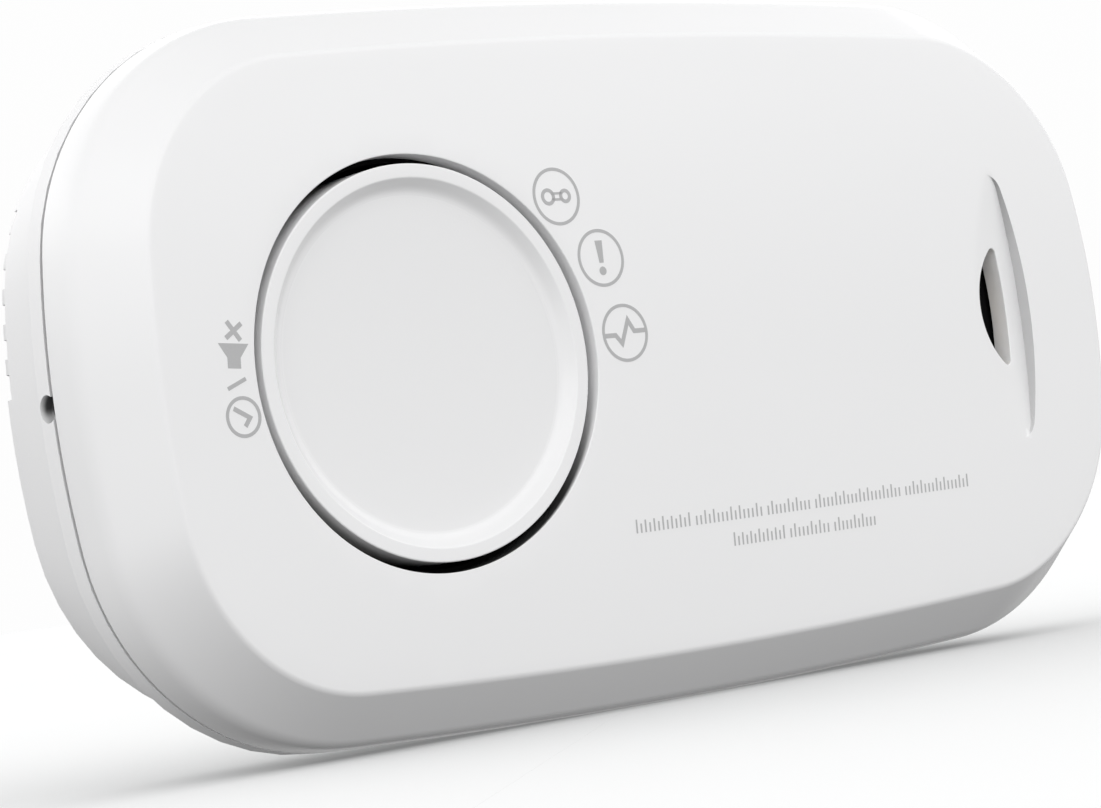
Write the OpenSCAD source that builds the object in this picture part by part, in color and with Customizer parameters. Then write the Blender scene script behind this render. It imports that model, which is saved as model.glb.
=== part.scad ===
// Carbon monoxide detector: a low, wide alarm with a bowed face, one large test button,
// a sounder slot and a plate that hangs it on a wall.
//
// Millimetres. X runs to the right as the face is seen, the face looks to -Y, Z is up.
// The origin is under the middle of the assembly, on the surface that it stands on.
// Inside every module the numbers are [x, depth, height]: depth counts back from the
// front of the face and height counts up from the middle of the body.

/* [Body] */
// Width of the body
body_w = 120; // [118:0.5:124]
// Height that the outline would have without its flat underside
body_h = 66.4; // [66:0.2:70]
// Depth from the front of the face to the back of the rear housing
body_d = 24; // [24:0.5:27]
// Height that the underside loses to its standing flat
base_trim = 0.2; // [0.1:0.05:0.4]
// Depth of the seam, where the front cover ends
seam_d = 11; // [10.8:0.1:11.2]
// Gap between the front cover and the rim of the rear housing
seam_gap = 0.3; // [0.2:0.1:0.4]
// Radius of the gentle top to bottom curve of the face
face_curve_r = 217; // [180:1:400]
// Wall thickness of the face
face_t = 2.2; // [2:0.1:2.4]
// Wall thickness of the sides
wall_t = 2; // [1.8:0.1:2.2]

/* [Test button] */
// Middle of the button, left of the middle of the face
button_x = -28.3; // [-28.8:0.1:-27.8]
// Outer radius of the button
button_r = 17.5; // [17:0.1:17.6]
// Radius of the hole that it sits in
button_hole_r = 18.4; // [18.3:0.1:18.6]
// Travel of the button
button_travel = 0.8; // [0.4:0.1:1]

/* [Sounder] */
// Middle of the sounder
sounder_x = 31; // [30:0.5:31.5]
// Middle of the sound slot
slot_x = 41.8; // [41.4:0.1:42]
// Height of the sound slot
slot_h = 11.7; // [9.1:0.2:12.1]
// Width of the sound slot
slot_w = 4.2; // [3:0.1:4.4]

/* [Battery bay] */
// Radius of an AA cell
cell_r = 7.25; // [6.9:0.05:7.25]
// Length of an AA cell with its terminal
cell_l = 50.5; // [49.5:0.1:50.5]
// Opening angle of the battery door when it is drawn, 0 when shut
door_open = 0; // [0:5:95]

/* [Wall plate] */
// Thickness of the wall plate
plate_t = 2.7; // [2.5:0.1:4]
// Distance between its two screw holes
plate_hole_pitch = 30; // [24:1:34]
// Radius of a screw hole
plate_hole_r = 2.2; // [1.8:0.1:2.5]

/* [Hidden] */

$fn = 64;
tiny = 0.01;
plate_gap = 0.3;
total_d = body_d + plate_gap + plate_t;
half_w = body_w / 2;
half_h = body_h / 2;
base_drop = half_h - base_trim;

// Outline of the seam: corner radius, then how far the long and the short sides bow out
seam_shape = [22.8, 2.16, 5.84];
// Outline where the face meets the slope
crease_shape = [17.4, 1.85, 5.1];
crease_in = [3.9, 6.26];
edge_d = 6.8;
edge_in = 0.26;
// Outline at the back of the rear housing
back_shape = [20.6, 2.1, 5.6];
back_in = [2.24, 3.64];
back_bevel = 1.7;
back_wall = 1.6;
rim_end_d = 13.5;
inner_back_d = body_d - back_wall;

// Dished recess round the sound slot, and the slot's rounded tips
recess_right = 46.45;
recess_edge_r = 52;
recess_half_h = 13.4;
recess_corner_r = 2.2;
bowl_r = 231;
bowl_x = 84.8;
bowl_depth = 4.47;
slot_tip_r = 0.6;
slot_tip_off = 1.1;
collar_t = 0.7;
collar_back = 2.85;

// Vents on the left rear edge
vent_count = 5;
vent_pitch = 3.07;
vent_first = 3.2;
vent_slot_h = 0.8;
vent_hood_h = 1.35;
vent_front = 21.6;
vent_right = -51.5;
vent_recess = 0.5;
hood_recess = 0.15;

// Circuit board and what stands on it
board_front = 9.6;
board_t = 1.6;
board_back = board_front + board_t;
board_right = -2;
icon_r = 22;
icon_angles = [39.6, 21, 2.3];
guide_r = 2.2;
sensor_pos = [-40.5, 8];
sensor_r = 9;
case_screw_pos = [46, 20];
board_screw_spots = [[button_x, 24.3], [button_x, -24.3], [-5.5, -18]];

// Button stack, as depths
button_top = 0.35;
button_plate_back = 2.9;
button_skirt_end = 5.6;
shelf_clear = 0.8;
ring_shelf_front = button_skirt_end + button_travel + shelf_clear;
ring_shelf_back = ring_shelf_front + 1;
ring_shelf_r = 11;
ring_in_r = button_hole_r - 0.4;
ring_out_r = 18.95;
plunger_front = 5.4;
switch_front = 6.3;
spring_reach = 13;
spring_coil_r = 1.6;
spring_end_gap = 0.3;

// Wire of every spring, and the corners its coils have in a turn
spring_wire_r = 0.25;
coil_steps = 14;

// Gas sensor: depths of its can and cap, and the ring its pins stand on
sensor_back = 18.6;
sensor_cap_t = 1;
sensor_face_r = 6;
sensor_face_t = 0.8;
sensor_pin_ring = 5;
sensor_pin_angles = [90, 210, 330];
mesh_t = 0.3;

// Sounder, as depths and radii
disc_front = 4.2;
disc_r = 13.6;
disc_t = 0.25;
ceramic_r = 10;
clamp_r = [13.7, 12];
clamp_back = 5.8;
gasket_t = 0.7;

// Screw heads
case_head_front = 14;
case_head_t = 1.8;
board_head_t = 1.4;

// Battery bay
bay_floor = 6.6;
bay_floor_t = 1.1;
bay_left = -1.2;
bay_right = 54;
bay_half_h = 15.2;
bay_wall = 1.2;
bay_block_right = 55.8;
cell_gap_z = 7.45;
lower_cell_end = 53.4;
upper_cell_start = 0.6;
cell_spring_r = 3;
contact_t = 0.4;
contact_d = [9, 20];
cell_d = inner_back_d - cell_r + 0.05;
door_front = body_d - 1.35;
door_x = [-0.3, 51.3];
door_half_h = 15.45;
door_side_gap = 0.3;
door_hinge_gap = 0.6;
hinge_x = 53.4;
hinge_d = body_d - 1.15;
hinge_barrel_r = 1.1;
hinge_pin_r = 0.6;
hinge_half_l = 13.1;
door_barrel_z = 6.8;
door_barrel_l = 7.6;
notch_r = 5;

// Wall plate
plate_size = [78, 47, 6];
plate_mid_x = -1;
plate_open_x = -4;
plate_open_half_h = 17.2;
hook_x = [-27, 33];
hook_z = 20.4;
hook_slide = 8;
hook_stem = [3, 2];
hook_head_z = 4.4;
plate_hole_x = -22;

// Side bore for a locking pin
lock_d = 12;
lock_r = 0.95;
lock_mouth_r = 1.2;
lock_mouth_l = 1.1;

// ---------------------------------------------------------------- helpers

// Puts [x, depth, height] numbers into the frame of the whole part
module in_body() translate([0, -total_d / 2, base_drop]) children();

// Flat shape (x, height) made solid between two depths
module deep(d0, d1) translate([0, d1, 0]) rotate([90, 0, 0]) linear_extrude(d1 - d0) children();

// Turned solid about the depth axis from a profile of [radius, depth]
module turned() rotate([-90, 0, 0]) rotate_extrude() children();

// Solid round bar along the depth axis
module post(r, d0, d1) deep(d0, d1) circle(r);

// Round ring along the depth axis
module ring(r_out, r_in, d0, d1) deep(d0, d1) difference() {
  circle(r_out);
  circle(r_in);
}

module at(x, z) translate([x, 0, z]) children();

module at_icon(k) at(button_x + icon_r * cos(icon_angles[k]), icon_r * sin(icon_angles[k])) children();

module corners(x, z) for (i = [-1, 1], j = [-1, 1]) at(i * x, j * z) children();

// Depth of the face at a height, and the solid behind it or behind its inner side
function face_depth(z) = face_curve_r - sqrt(face_curve_r * face_curve_r - z * z);
module behind_face(inset) translate([0, face_curve_r, 0])
  rotate([0, 90, 0]) cylinder(r = face_curve_r - inset, h = 2 * body_w, center = true, $fn = 720);

module rounded_rect(w, h, r) {
  square([w - 2 * r, h], center = true);
  square([w, h - 2 * r], center = true);
  for (i = [-1, 1], j = [-1, 1]) translate([i * (w / 2 - r), j * (h / 2 - r)]) circle(r);
}

// Arc of n steps without its last point
function arc(centre, r, from, to, n) =
  [for (i = [0:n - 1]) centre + r * [cos(from + (to - from) * i / n), sin(from + (to - from) * i / n)]];

// Quarter of a rounded rectangle whose sides bow out, from the right end up to the top.
// a, b: half width and half height; s: [corner radius, long bow, short bow]
function bowed_quarter(a, b, s) =
  let (
    r = s[0],
    long_r = (a * a + s[1] * s[1]) / (2 * s[1]),
    short_r = (b * b + s[2] * s[2]) / (2 * s[2]),
    long_c = [0, b - long_r],
    short_c = [a - short_r, 0],
    gap = norm(short_c - long_c),
    u = (short_c - long_c) / gap,
    along = (pow(long_r - r, 2) - pow(short_r - r, 2) + gap * gap) / (2 * gap),
    aside = sqrt(pow(long_r - r, 2) - along * along),
    c = long_c + along * u + aside * [u[1], -u[0]],
    a_short = atan2(c[1] - short_c[1], c[0] - short_c[0]),
    a_long = atan2(c[1] - long_c[1], c[0] - long_c[0])
  )
  concat(
    arc(short_c, short_r, 0, a_short, 4),
    arc(c, r, a_short, a_long, 10),
    arc(long_c, long_r, a_long, 90, 5),
    [[0, b]]
  );

function bowed(a, b, s) =
  let (q = bowed_quarter(a, b, s), n = len(q))
  concat(
    q,
    [for (i = [n - 2:-1:0]) [-q[i][0], q[i][1]]],
    [for (i = [1:n - 1]) [-q[i][0], -q[i][1]]],
    [for (i = [n - 2:-1:1]) [q[i][0], -q[i][1]]]
  );

// Shape [corner radius, bows] moved inwards
function inwards(s, inset) = [s[0] - inset, s[1], s[2]];

// Closed solid through rings of [depth, half width, half height, shape]
module loft(rings) {
  outlines = [for (k = rings) [for (p = bowed(k[1], k[2], k[3])) [p[0], k[0], p[1]]]];
  n = len(outlines[0]);
  last = len(rings) - 1;
  polyhedron(
    [for (o = outlines) each o],
    concat(
      [[for (i = [n - 1:-1:0]) i]],
      [for (j = [0:last - 1], i = [0:n - 1])
        [j * n + i, j * n + (i + 1) % n, (j + 1) * n + (i + 1) % n, (j + 1) * n + i]],
      [[for (i = [0:n - 1]) last * n + i]]
    )
  );
}

// Ring of the front cover's slope at a depth
function slope_ring(d, inset) =
  let (t = d / edge_d)
  [
    d,
    half_w - (1 - t) * crease_in[0] - t * edge_in - inset,
    half_h - (1 - t) * crease_in[1] - t * edge_in - inset,
    inwards((1 - t) * crease_shape + t * seam_shape, inset)
  ];

// Ring of the straight side
function side_ring(d, inset) = [d, half_w - inset, half_h - inset, inwards(seam_shape, inset)];

// Ring of the rear housing's tapering tub at a depth
function tub_ring(d, inset) =
  let (t = (d - rim_end_d) / (inner_back_d - rim_end_d), first = 0.5)
  [
    d,
    half_w - first - t * (back_in[0] - first) - inset,
    half_h - first - t * (back_in[1] - first) - inset,
    inwards((1 - t) * seam_shape + t * back_shape, inset)
  ];

module rear_outer(grow) loft([
  side_ring(seam_d + seam_gap, -grow),
  side_ring(rim_end_d - 0.2, -grow),
  tub_ring(rim_end_d, -grow),
  tub_ring(body_d - back_bevel, -grow),
  tub_ring(body_d - 0.35 * back_bevel, 0.4 * back_bevel - grow),
  tub_ring(body_d + grow, back_bevel - grow)
]);

module below_base() translate([-body_w, -body_w, -base_drop - body_w]) cube([2 * body_w, 2 * body_w, body_w]);

// Tube swept along a list of points, with a ring of n corners at each
function unit(v) = v / norm(v);
function sweep_dir(pts, i) = unit(pts[min(i + 1, len(pts) - 1)] - pts[max(i - 1, 0)]);
module sweep(pts, r, n, side) {
  m = len(pts);
  points = [for (i = [0:m - 1])
    let (t = sweep_dir(pts, i), u = unit(cross(t, side)), v = cross(t, u))
    for (k = [0:n - 1]) pts[i] + r * (cos(360 * k / n) * u + sin(360 * k / n) * v)];
  polyhedron(
    points,
    concat(
      [[for (k = [0:n - 1]) k]],
      [for (i = [0:m - 2], k = [0:n - 1])
        [i * n + k, (i + 1) * n + k, (i + 1) * n + (k + 1) % n, i * n + (k + 1) % n]],
      [[for (k = [n - 1:-1:0]) (m - 1) * n + k]]
    )
  );
}

// Points of a coil along +depth that starts at depth 0
function coil(r, length, turns, steps) =
  [for (i = [0:turns * steps]) [r * cos(360 * i / steps), length * i / (turns * steps), r * sin(360 * i / steps)]];

// Smooth route through hand-chosen points, by Catmull-Rom
function blend(p, i, t) =
  let (a = p[max(i - 1, 0)], b = p[i], c = p[i + 1], d = p[min(i + 2, len(p) - 1)])
  0.5 * (2 * b + (c - a) * t + (2 * a - 5 * b + 4 * c - d) * t * t + (3 * b - a - 3 * c + d) * t * t * t);
function route(p, steps) =
  concat([for (i = [0:len(p) - 2], k = [0:steps - 1]) blend(p, i, k / steps)], [p[len(p) - 1]]);

// ---------------------------------------------------------------- case

// Outline of the sound slot about the middle of its tips, larger all round by grow:
// a fuller arc on the left and a flatter one on the right
function slot_side_r(reach) =
  (reach * reach + pow(slot_h / 2 - slot_tip_r, 2) - slot_tip_r * slot_tip_r) / (2 * (reach - slot_tip_r));
function slot_outline(grow) =
  let (
    v = slot_h / 2 - slot_tip_r,
    u = slot_w / 2 + slot_tip_off,
    w = slot_w / 2 - slot_tip_off,
    left_r = slot_side_r(u),
    right_r = slot_side_r(w),
    a_right = atan2(v, right_r - w),
    a_left = atan2(v, u - left_r)
  )
  concat(
    arc([w - right_r, 0], right_r + grow, -a_right, a_right, 16),
    arc([0, v], slot_tip_r + grow, a_right, a_left, 8),
    arc([left_r - u, 0], left_r + grow, a_left, 360 - a_left, 24),
    arc([0, -v], slot_tip_r + grow, 360 - a_left, 360 - a_right, 8)
  );
module slot_shape(grow, d0, d1) at(slot_x + slot_tip_off, 0) deep(d0, d1) polygon(slot_outline(grow));

// Plan of the recess: it fades out on the left and ends at a rounded wall on the right
function recess_outline() =
  let (
    centre = [recess_right - recess_edge_r, 0],
    v = recess_half_h - recess_corner_r,
    x = centre[0] + sqrt(pow(recess_edge_r - recess_corner_r, 2) - v * v),
    a = atan2(v, x - centre[0])
  )
  concat(
    [[x - 14, -recess_half_h]],
    arc([x, -v], recess_corner_r, -90, -a, 8),
    arc(centre, recess_edge_r, -a, a, 24),
    arc([x, v], recess_corner_r, a, 90, 8),
    [[x, recess_half_h], [x - 14, recess_half_h]]
  );

module scoop() intersection() {
  translate([bowl_x, bowl_depth - bowl_r, 0]) sphere(bowl_r, $fn = 480);
  deep(-1, 3) polygon(recess_outline());
}

module front_cover() in_body() color("white") difference() {
  union() {
    difference() {
      intersection() {
        loft([slope_ring(-0.5, 0), slope_ring(edge_d, 0), side_ring(seam_d, 0)]);
        behind_face(0);
      }
      intersection() {
        loft([slope_ring(-0.5, wall_t), slope_ring(edge_d, wall_t), side_ring(seam_d + 1, wall_t)]);
        behind_face(face_t);
      }
    }
    corners(case_screw_pos[0], case_screw_pos[1]) post(3.2, 2.6, seam_d);
    for (p = board_screw_spots) at(p[0], p[1]) post(2.2, 2.4, board_front);
    slot_shape(collar_t, 1.5, collar_back);
  }
  corners(case_screw_pos[0], case_screw_pos[1]) post(1.15, 4.6, seam_d + 1);
  for (p = board_screw_spots) at(p[0], p[1]) post(0.95, 4.6, board_front + 1);
  at(button_x, 0) post(button_hole_r, -1, 4, $fn = 128);
  for (k = [0:2]) at_icon(k)
    post(guide_r + 0.15, face_depth(icon_r * sin(icon_angles[k])) + 0.8, 5);
  scoop();
  slot_shape(0, -1, face_t + 4);
  below_base();
}

// Bowed plate between two depths, used for the locating lip
module bowed_slab(inset, d0, d1) deep(d0, d1) polygon(bowed(half_w - inset, half_h - inset, inwards(seam_shape, inset)));

// Bands across the left rear edge, one for each vent
module vent_bands(z, h, right, front) for (k = [0:vent_count - 1])
  translate([-half_w - 2, front, z + vent_pitch * k]) cube([right + half_w + 2, body_d + 2 - front, h]);

// What the vents take off the left rear edge: a shallow panel with raised hoods, and a slot
// under each hood
module vents() {
  difference() {
    translate([-half_w - 2, vent_front - 0.4, vent_first - 1.4])
      cube([half_w + 3 + vent_right, body_d + 2 - vent_front, vent_pitch * vent_count + 1.1]);
    rear_outer(-vent_recess);
    intersection() {
      rear_outer(-hood_recess);
      vent_bands(vent_first + vent_slot_h, vent_hood_h, vent_right + 2, vent_front - 1);
    }
  }
  vent_bands(vent_first, vent_slot_h, vent_right, vent_front);
}

module rear_housing() in_body() color("white") difference() {
  union() {
    difference() {
      union() {
        rear_outer(0);
        // Foot that carries the standing flat under the tub
        deep(rim_end_d - 0.5, rim_end_d + 7.5)
          polygon([[-23, 5 - half_h], [-18, -half_h], [18, -half_h], [23, 5 - half_h]]);
      }
      loft([
        side_ring(seam_d, wall_t + 0.1),
        tub_ring(rim_end_d, wall_t - 0.1),
        tub_ring(inner_back_d, wall_t - 0.1)
      ]);
    }
    // Locating lip inside the front cover
    difference() {
      union() {
        bowed_slab(wall_t + 0.35, seam_d - 1.4, seam_d + 1.4);
        bowed_slab(wall_t - 0.1, seam_d + seam_gap, seam_d + 1.4);
      }
      bowed_slab(wall_t + 1.3, seam_d - 2, seam_d + 2);
    }
    corners(case_screw_pos[0], case_screw_pos[1]) post(3.6, seam_d + 0.4, inner_back_d + tiny);
    // Battery bay
    translate([bay_left, bay_floor, -bay_half_h - bay_wall])
      cube([bay_block_right - bay_left, inner_back_d - bay_floor + tiny, 2 * (bay_half_h + bay_wall)]);
    // Boss for the locking pin
    translate([-half_w + wall_t + 0.6, lock_d, 0]) rotate([0, 90, 0]) cylinder(r = 2, h = 3.6);
  }
  corners(case_screw_pos[0], case_screw_pos[1]) {
    post(2.8, case_head_front, body_d + 1);
    post(1.5, seam_d, case_head_front + 1);
  }
  // Bay, door opening with a ledge, and the pocket of the hinge
  translate([bay_left + bay_wall, bay_floor + bay_floor_t, -bay_half_h])
    cube([bay_right - bay_left - bay_wall, inner_back_d - bay_floor - bay_floor_t, 2 * bay_half_h]);
  translate([bay_left + bay_wall, inner_back_d - 1, -bay_half_h + 0.3])
    cube([door_x[1] - door_side_gap - bay_left - bay_wall, 4, 2 * bay_half_h - 0.6]);
  translate([door_x[0] - door_side_gap, door_front - 0.05, -door_half_h - door_side_gap])
    cube([door_x[1] - door_x[0] + door_side_gap + door_hinge_gap, 4, 2 * (door_half_h + door_side_gap)]);
  difference() {
    translate([door_x[1] - door_side_gap, hinge_d - 1.5, -hinge_half_l])
      cube([hinge_x + 1.5 - door_x[1] + door_side_gap, 4, 2 * hinge_half_l]);
    hinge_ears();
  }
  translate([0, hinge_d, 0]) at(hinge_x, 0)
    cylinder(r = hinge_pin_r + 0.02, h = 2 * hinge_half_l, center = true);
  // Slots for the contact tabs
  for (j = [-1, 1]) translate([-2, board_front - 0.55, j * cell_gap_z - 1.6]) cube([3, 0.5, 3.2]);
  // Finger notch beside the door
  at(door_x[0] - door_side_gap, 0) deep(body_d - 0.9, body_d + 1) circle(notch_r);
  // Keyholes for the hooks of the wall plate
  for (x = hook_x, j = [-1, 1]) at(x, j * hook_z) {
    translate([-hook_slide - 1, inner_back_d - 1, -1.3]) cube([hook_slide + 2.8, 4, 2.6]);
    translate([-hook_slide - 2.2, inner_back_d - 1, -2.6]) cube([4.4, 4, 5.2]);
  }
  vents();
  // Bore for the locking pin: a wider mouth, then the fitted length
  translate([-half_w - 1, lock_d, 0]) rotate([0, 90, 0]) cylinder(r = lock_mouth_r, h = 1 + lock_mouth_l);
  translate([-half_w - 1, lock_d, 0]) rotate([0, 90, 0]) cylinder(r = lock_r, h = 9);
  below_base();
}

// Fixed ears of the door hinge
module hinge_ears() for (z = [-12, 0, 12]) {
  length = z == 0 ? 5 : 2.2;
  translate([hinge_x, hinge_d, z]) cylinder(r = hinge_barrel_r, h = length, center = true);
  translate([hinge_x, hinge_d - 0.8, z - length / 2]) cube([2, 1.6, length]);
}

// ---------------------------------------------------------------- test button

module test_button() in_body() color("whitesmoke") at(button_x, 0) turned() polygon([
  [0, button_top + 1.15],
  [button_r - 2.9, button_top + 1],
  [button_r - 1.35, button_top + 0.1],
  [button_r - 1.05, button_top],
  [button_r - 0.3, button_top],
  [button_r, button_top + 0.3],
  [button_r, button_skirt_end],
  [button_r - 1.5, button_skirt_end],
  [button_r - 1.5, button_plate_back],
  [2, button_plate_back],
  [2, plunger_front - 0.05],
  [0, plunger_front - 0.05]
]);

module button_guide_ring() in_body() color("dimgray") at(button_x, 0) {
  intersection() {
    turned() polygon([
      [ring_in_r, 1],
      [ring_out_r, 1],
      [ring_out_r, ring_shelf_back],
      [ring_shelf_r, ring_shelf_back],
      [ring_shelf_r, ring_shelf_front],
      [ring_in_r, ring_shelf_front]
    ]);
    behind_face(face_t + 0.05);
  }
  for (a = [90, 210, 330]) at(16 * cos(a), 16 * sin(a)) post(1.2, ring_shelf_back - tiny, board_front);
}

module button_springs() in_body() color("silver")
  for (j = [-1, 1]) translate([button_x, button_plate_back + spring_end_gap, j * spring_reach])
    sweep(coil(spring_coil_r, ring_shelf_front - button_plate_back - 2 * spring_end_gap, 3, coil_steps),
      spring_wire_r, 6, [0, 1, 0]);

module switch_body() in_body() color("dimgray") at(button_x, 0) difference() {
  deep(switch_front, board_front) rounded_rect(6, 6, 0.6);
  post(1.75, switch_front - 1, board_front - 1);
}

module switch_plunger() in_body() color("black") at(button_x, 0) post(1.7, plunger_front, switch_front + 1.3);

// ---------------------------------------------------------------- circuit board

module main_board() in_body() color("seagreen") difference() {
  intersection() {
    bowed_slab(wall_t + 2.6, board_front, board_back);
    translate([-53, 0, -half_h]) cube([53 + board_right, board_back + 1, 2 * half_h]);
  }
  for (j = [-1, 1]) at(-case_screw_pos[0], j * case_screw_pos[1]) post(4.1, 0, 20);
  for (p = board_screw_spots) at(p[0], p[1]) post(1.1, 0, 20);
  at_sensor_pins() post(0.55, 0, 20);
}

module chip(x, z, w, h, t) at(x, z) deep(board_back, board_back + t) square([w, h], center = true);

module board_components() in_body() color("dimgray") {
  chip(-12, 3, 5, 4, 1.2);
  chip(-24, 10, 4, 3, 1);
  chip(-22, -2, 5, 6, 1.4);
  for (k = [0:4]) chip(-34 + 3.2 * k, -9, 1.6, 0.8, 0.6);
  for (k = [0:3]) chip(-38 + 3.2 * k, -13, 1.6, 0.8, 0.6);
  for (k = [0:2]) chip(-12 + 3 * k, 20, 0.8, 1.6, 0.6);
}

module microcontroller() in_body() color("black") chip(-14, -8, 7, 7, 1);

module reservoir_capacitor() in_body() color("darkslateblue") at(-26, -17) {
  post(3.15, board_back, board_back + 7.4);
  post(2.6, board_back + 7.4 - tiny, board_back + 7.8);
}

module sounder_coil() in_body() color("chocolate") at(-13, 13) {
  post(3.6, board_back, board_back + 1);
  post(2.4, board_back + 1 - tiny, board_back + 5);
  post(3.6, board_back + 5 - tiny, board_back + 6);
}

module led(k, tint) in_body() color(tint) at_icon(k) {
  post(1.9, board_front - 0.6, board_front);
  post(1.5, board_front - 1.6, board_front - 0.6 + tiny);
}

module alarm_led() led(0, "red");
module fault_led() led(1, "gold");
module power_led() led(2, "limegreen");

module light_guide(k) in_body() color("lightcyan") at_icon(k)
  post(guide_r, face_depth(icon_r * sin(icon_angles[k])) + 0.9, board_front - 1.7);

module alarm_light_guide() light_guide(0);
module fault_light_guide() light_guide(1);
module power_light_guide() light_guide(2);

// Curved block that keeps the three lights apart
module light_shroud() in_body() color("black") at(button_x, 0) deep(4, board_front) difference() {
  intersection() {
    circle(icon_r + 2.9);
    polygon([[0, 0], [60, -6], [60, 66]]);
  }
  circle(icon_r - 2.9);
  for (a = icon_angles) translate(icon_r * [cos(a), sin(a)]) circle(guide_r + 0.06);
}

module board_screws() in_body() color("silver") for (p = board_screw_spots) at(p[0], p[1]) difference() {
  union() {
    post(2, board_back, board_back + board_head_t);
    post(0.9, 5.2, board_back + tiny);
  }
  cross_recess(board_back + board_head_t, 2.2, 0.7);
}

// Cross cut into a screw head whose top is at depth d
module cross_recess(d, w, h) for (a = [0, 90]) rotate([0, a, 0])
  translate([-w / 2, d - h, -0.3]) cube([w, h + 1, 0.6]);

// ---------------------------------------------------------------- gas sensor

module at_sensor() at(sensor_pos[0], sensor_pos[1]) children();
module at_sensor_pins() at_sensor() for (a = sensor_pin_angles)
  at(sensor_pin_ring * cos(a), sensor_pin_ring * sin(a)) children();

module sensor_can() in_body() color("silver") at_sensor() post(sensor_r, board_back + 0.4, sensor_back);

module sensor_cap() in_body() color("darkgray") at_sensor() difference() {
  step_d = sensor_back + sensor_cap_t;
  union() {
    post(sensor_r + 0.25, sensor_back, step_d);
    post(sensor_face_r, step_d - tiny, step_d + sensor_face_t);
  }
  for (a = [0:60:300]) at(3 * cos(a), 3 * sin(a)) post(0.7, sensor_back - 1, step_d + 2);
}

module sensor_pins() in_body() color("gold") at_sensor_pins()
  post(0.5, board_front - 0.8, board_back + 0.4);

module sensor_seal() in_body() color("dimgray") at_sensor()
  ring(8.4, sensor_face_r + 0.3, sensor_back + sensor_cap_t, 20.5);

// Insect screen between the vents and the sensor
module vent_mesh() in_body() color("gray") translate([sensor_pos[0] - sensor_r - 1.7, 14.5, 1.2])
  cube([mesh_t, inner_back_d - 14.6, 16]);

// ---------------------------------------------------------------- sounder

module sounder_horn() in_body() color("dimgray") at(sounder_x, 0) intersection() {
  difference() {
    post(15.8, 1, clamp_back, $fn = 96);
    post(14.9, 0, 3.2, $fn = 96);
    post(13.8, 0, 7, $fn = 96);
  }
  behind_face(face_t + 0.05);
}

module sounder_gasket() in_body() color("black") at(sounder_x, 0)
  ring(clamp_r[0], clamp_r[1], disc_front - gasket_t, disc_front);
module piezo_disc() in_body() color("gold") at(sounder_x, 0) post(disc_r, disc_front, disc_front + disc_t);
module piezo_ceramic() in_body() color("gainsboro") at(sounder_x, 0)
  post(ceramic_r, disc_front + disc_t, disc_front + 2 * disc_t);
module sounder_clamp_ring() in_body() color("white") at(sounder_x, 0)
  ring(clamp_r[0], clamp_r[1], disc_front + disc_t, clamp_back);

// Leads from the board to the disc, between the sounder's clamp and the battery bay
lead_r = 0.3;
lead_d = 6.2;
red_route = [
  [-4.2, 9.1, -7], [-3.7, 7.3, -7], [-2.2, lead_d, -6.8], [7, lead_d, -5.8], [14, lead_d, -5],
  [19.8, lead_d, -4.2], [21.4, 5.7, -4], [22.8, 5.05, -3.8]
];
black_route = [
  [-4.2, 9.1, -10.5], [-3.7, 7.3, -10.5], [-2.2, lead_d, -10.3], [7, lead_d, -9.6],
  [14, lead_d, -8.8], [21.4, lead_d, -7.6], [22.6, 5.6, -7.2], [23.7, 4.8, -6.9]
];

module lead(p, tint) in_body() color(tint) sweep(route(p, 4), lead_r, 8, [0, 0, 1]);
module sounder_lead_red() lead(red_route, "red");
module sounder_lead_black() lead(black_route, "black");

// ---------------------------------------------------------------- power

// AA cell along +X from x0, with its terminal at the left or the right end
module cell(x0, z, nub_right) translate([x0, cell_d, z]) {
  nub = 1.2;
  rotate([0, 90, 0]) translate([0, 0, nub_right ? 0 : nub]) cylinder(r = cell_r, h = cell_l - nub);
  rotate([0, 90, 0]) translate([0, 0, nub_right ? cell_l - nub - tiny : 0]) cylinder(r = 2.75, h = nub + tiny);
}

module upper_cell() in_body() color("goldenrod") cell(upper_cell_start, cell_gap_z, false);
module lower_cell() in_body() color("goldenrod") cell(lower_cell_end - cell_l, -cell_gap_z, true);

module cell_springs() in_body() color("silver") {
  length = lower_cell_end - cell_l - 4 * spring_wire_r;
  for (s = [[0.75, -cell_gap_z], [upper_cell_start + cell_l + spring_wire_r, cell_gap_z]])
    translate([s[0], cell_d, s[1]]) rotate([0, 0, -90])
      sweep(coil(cell_spring_r, length, 2, coil_steps), spring_wire_r, 6, [0, 1, 0]);
}

// Left contacts, each with a tab that reaches the board
module cell_contacts() in_body() color("silver") for (j = [-1, 1]) {
  translate([0.05, contact_d[0], j * cell_gap_z - 4.5]) cube([contact_t, contact_d[1] - contact_d[0], 9]);
  translate([-3.4, board_front - 0.45, j * cell_gap_z - 1.4]) cube([3.5, 0.3, 2.8]);
}

module bridge_contact() in_body() color("silver") translate([53.5, contact_d[0], -11])
  cube([contact_t, contact_d[1] - contact_d[0], 22]);

module battery_door() in_body() color("white") door_pose() difference() {
  union() {
    translate([door_x[0], door_front, -door_half_h])
      cube([door_x[1] - door_x[0], body_d - door_front, 2 * door_half_h]);
    for (z = [-door_barrel_z, door_barrel_z]) {
      translate([hinge_x, hinge_d, z]) cylinder(r = hinge_barrel_r, h = door_barrel_l, center = true);
      translate([door_x[1] - tiny, door_front, z - door_barrel_l / 2])
        cube([hinge_x - door_x[1], 0.8, door_barrel_l]);
    }
  }
  translate([hinge_x, hinge_d, 0]) cylinder(r = hinge_pin_r + 0.06, h = 30, center = true);
  // Grip grooves beside the finger notch
  for (k = [0:3]) translate([2 + 2 * k, body_d - 0.5, -7]) cube([1, 2, 14]);
}

module door_pose() translate([hinge_x, hinge_d, 0]) rotate([0, 0, -door_open])
  translate([-hinge_x, -hinge_d, 0]) children();

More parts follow.
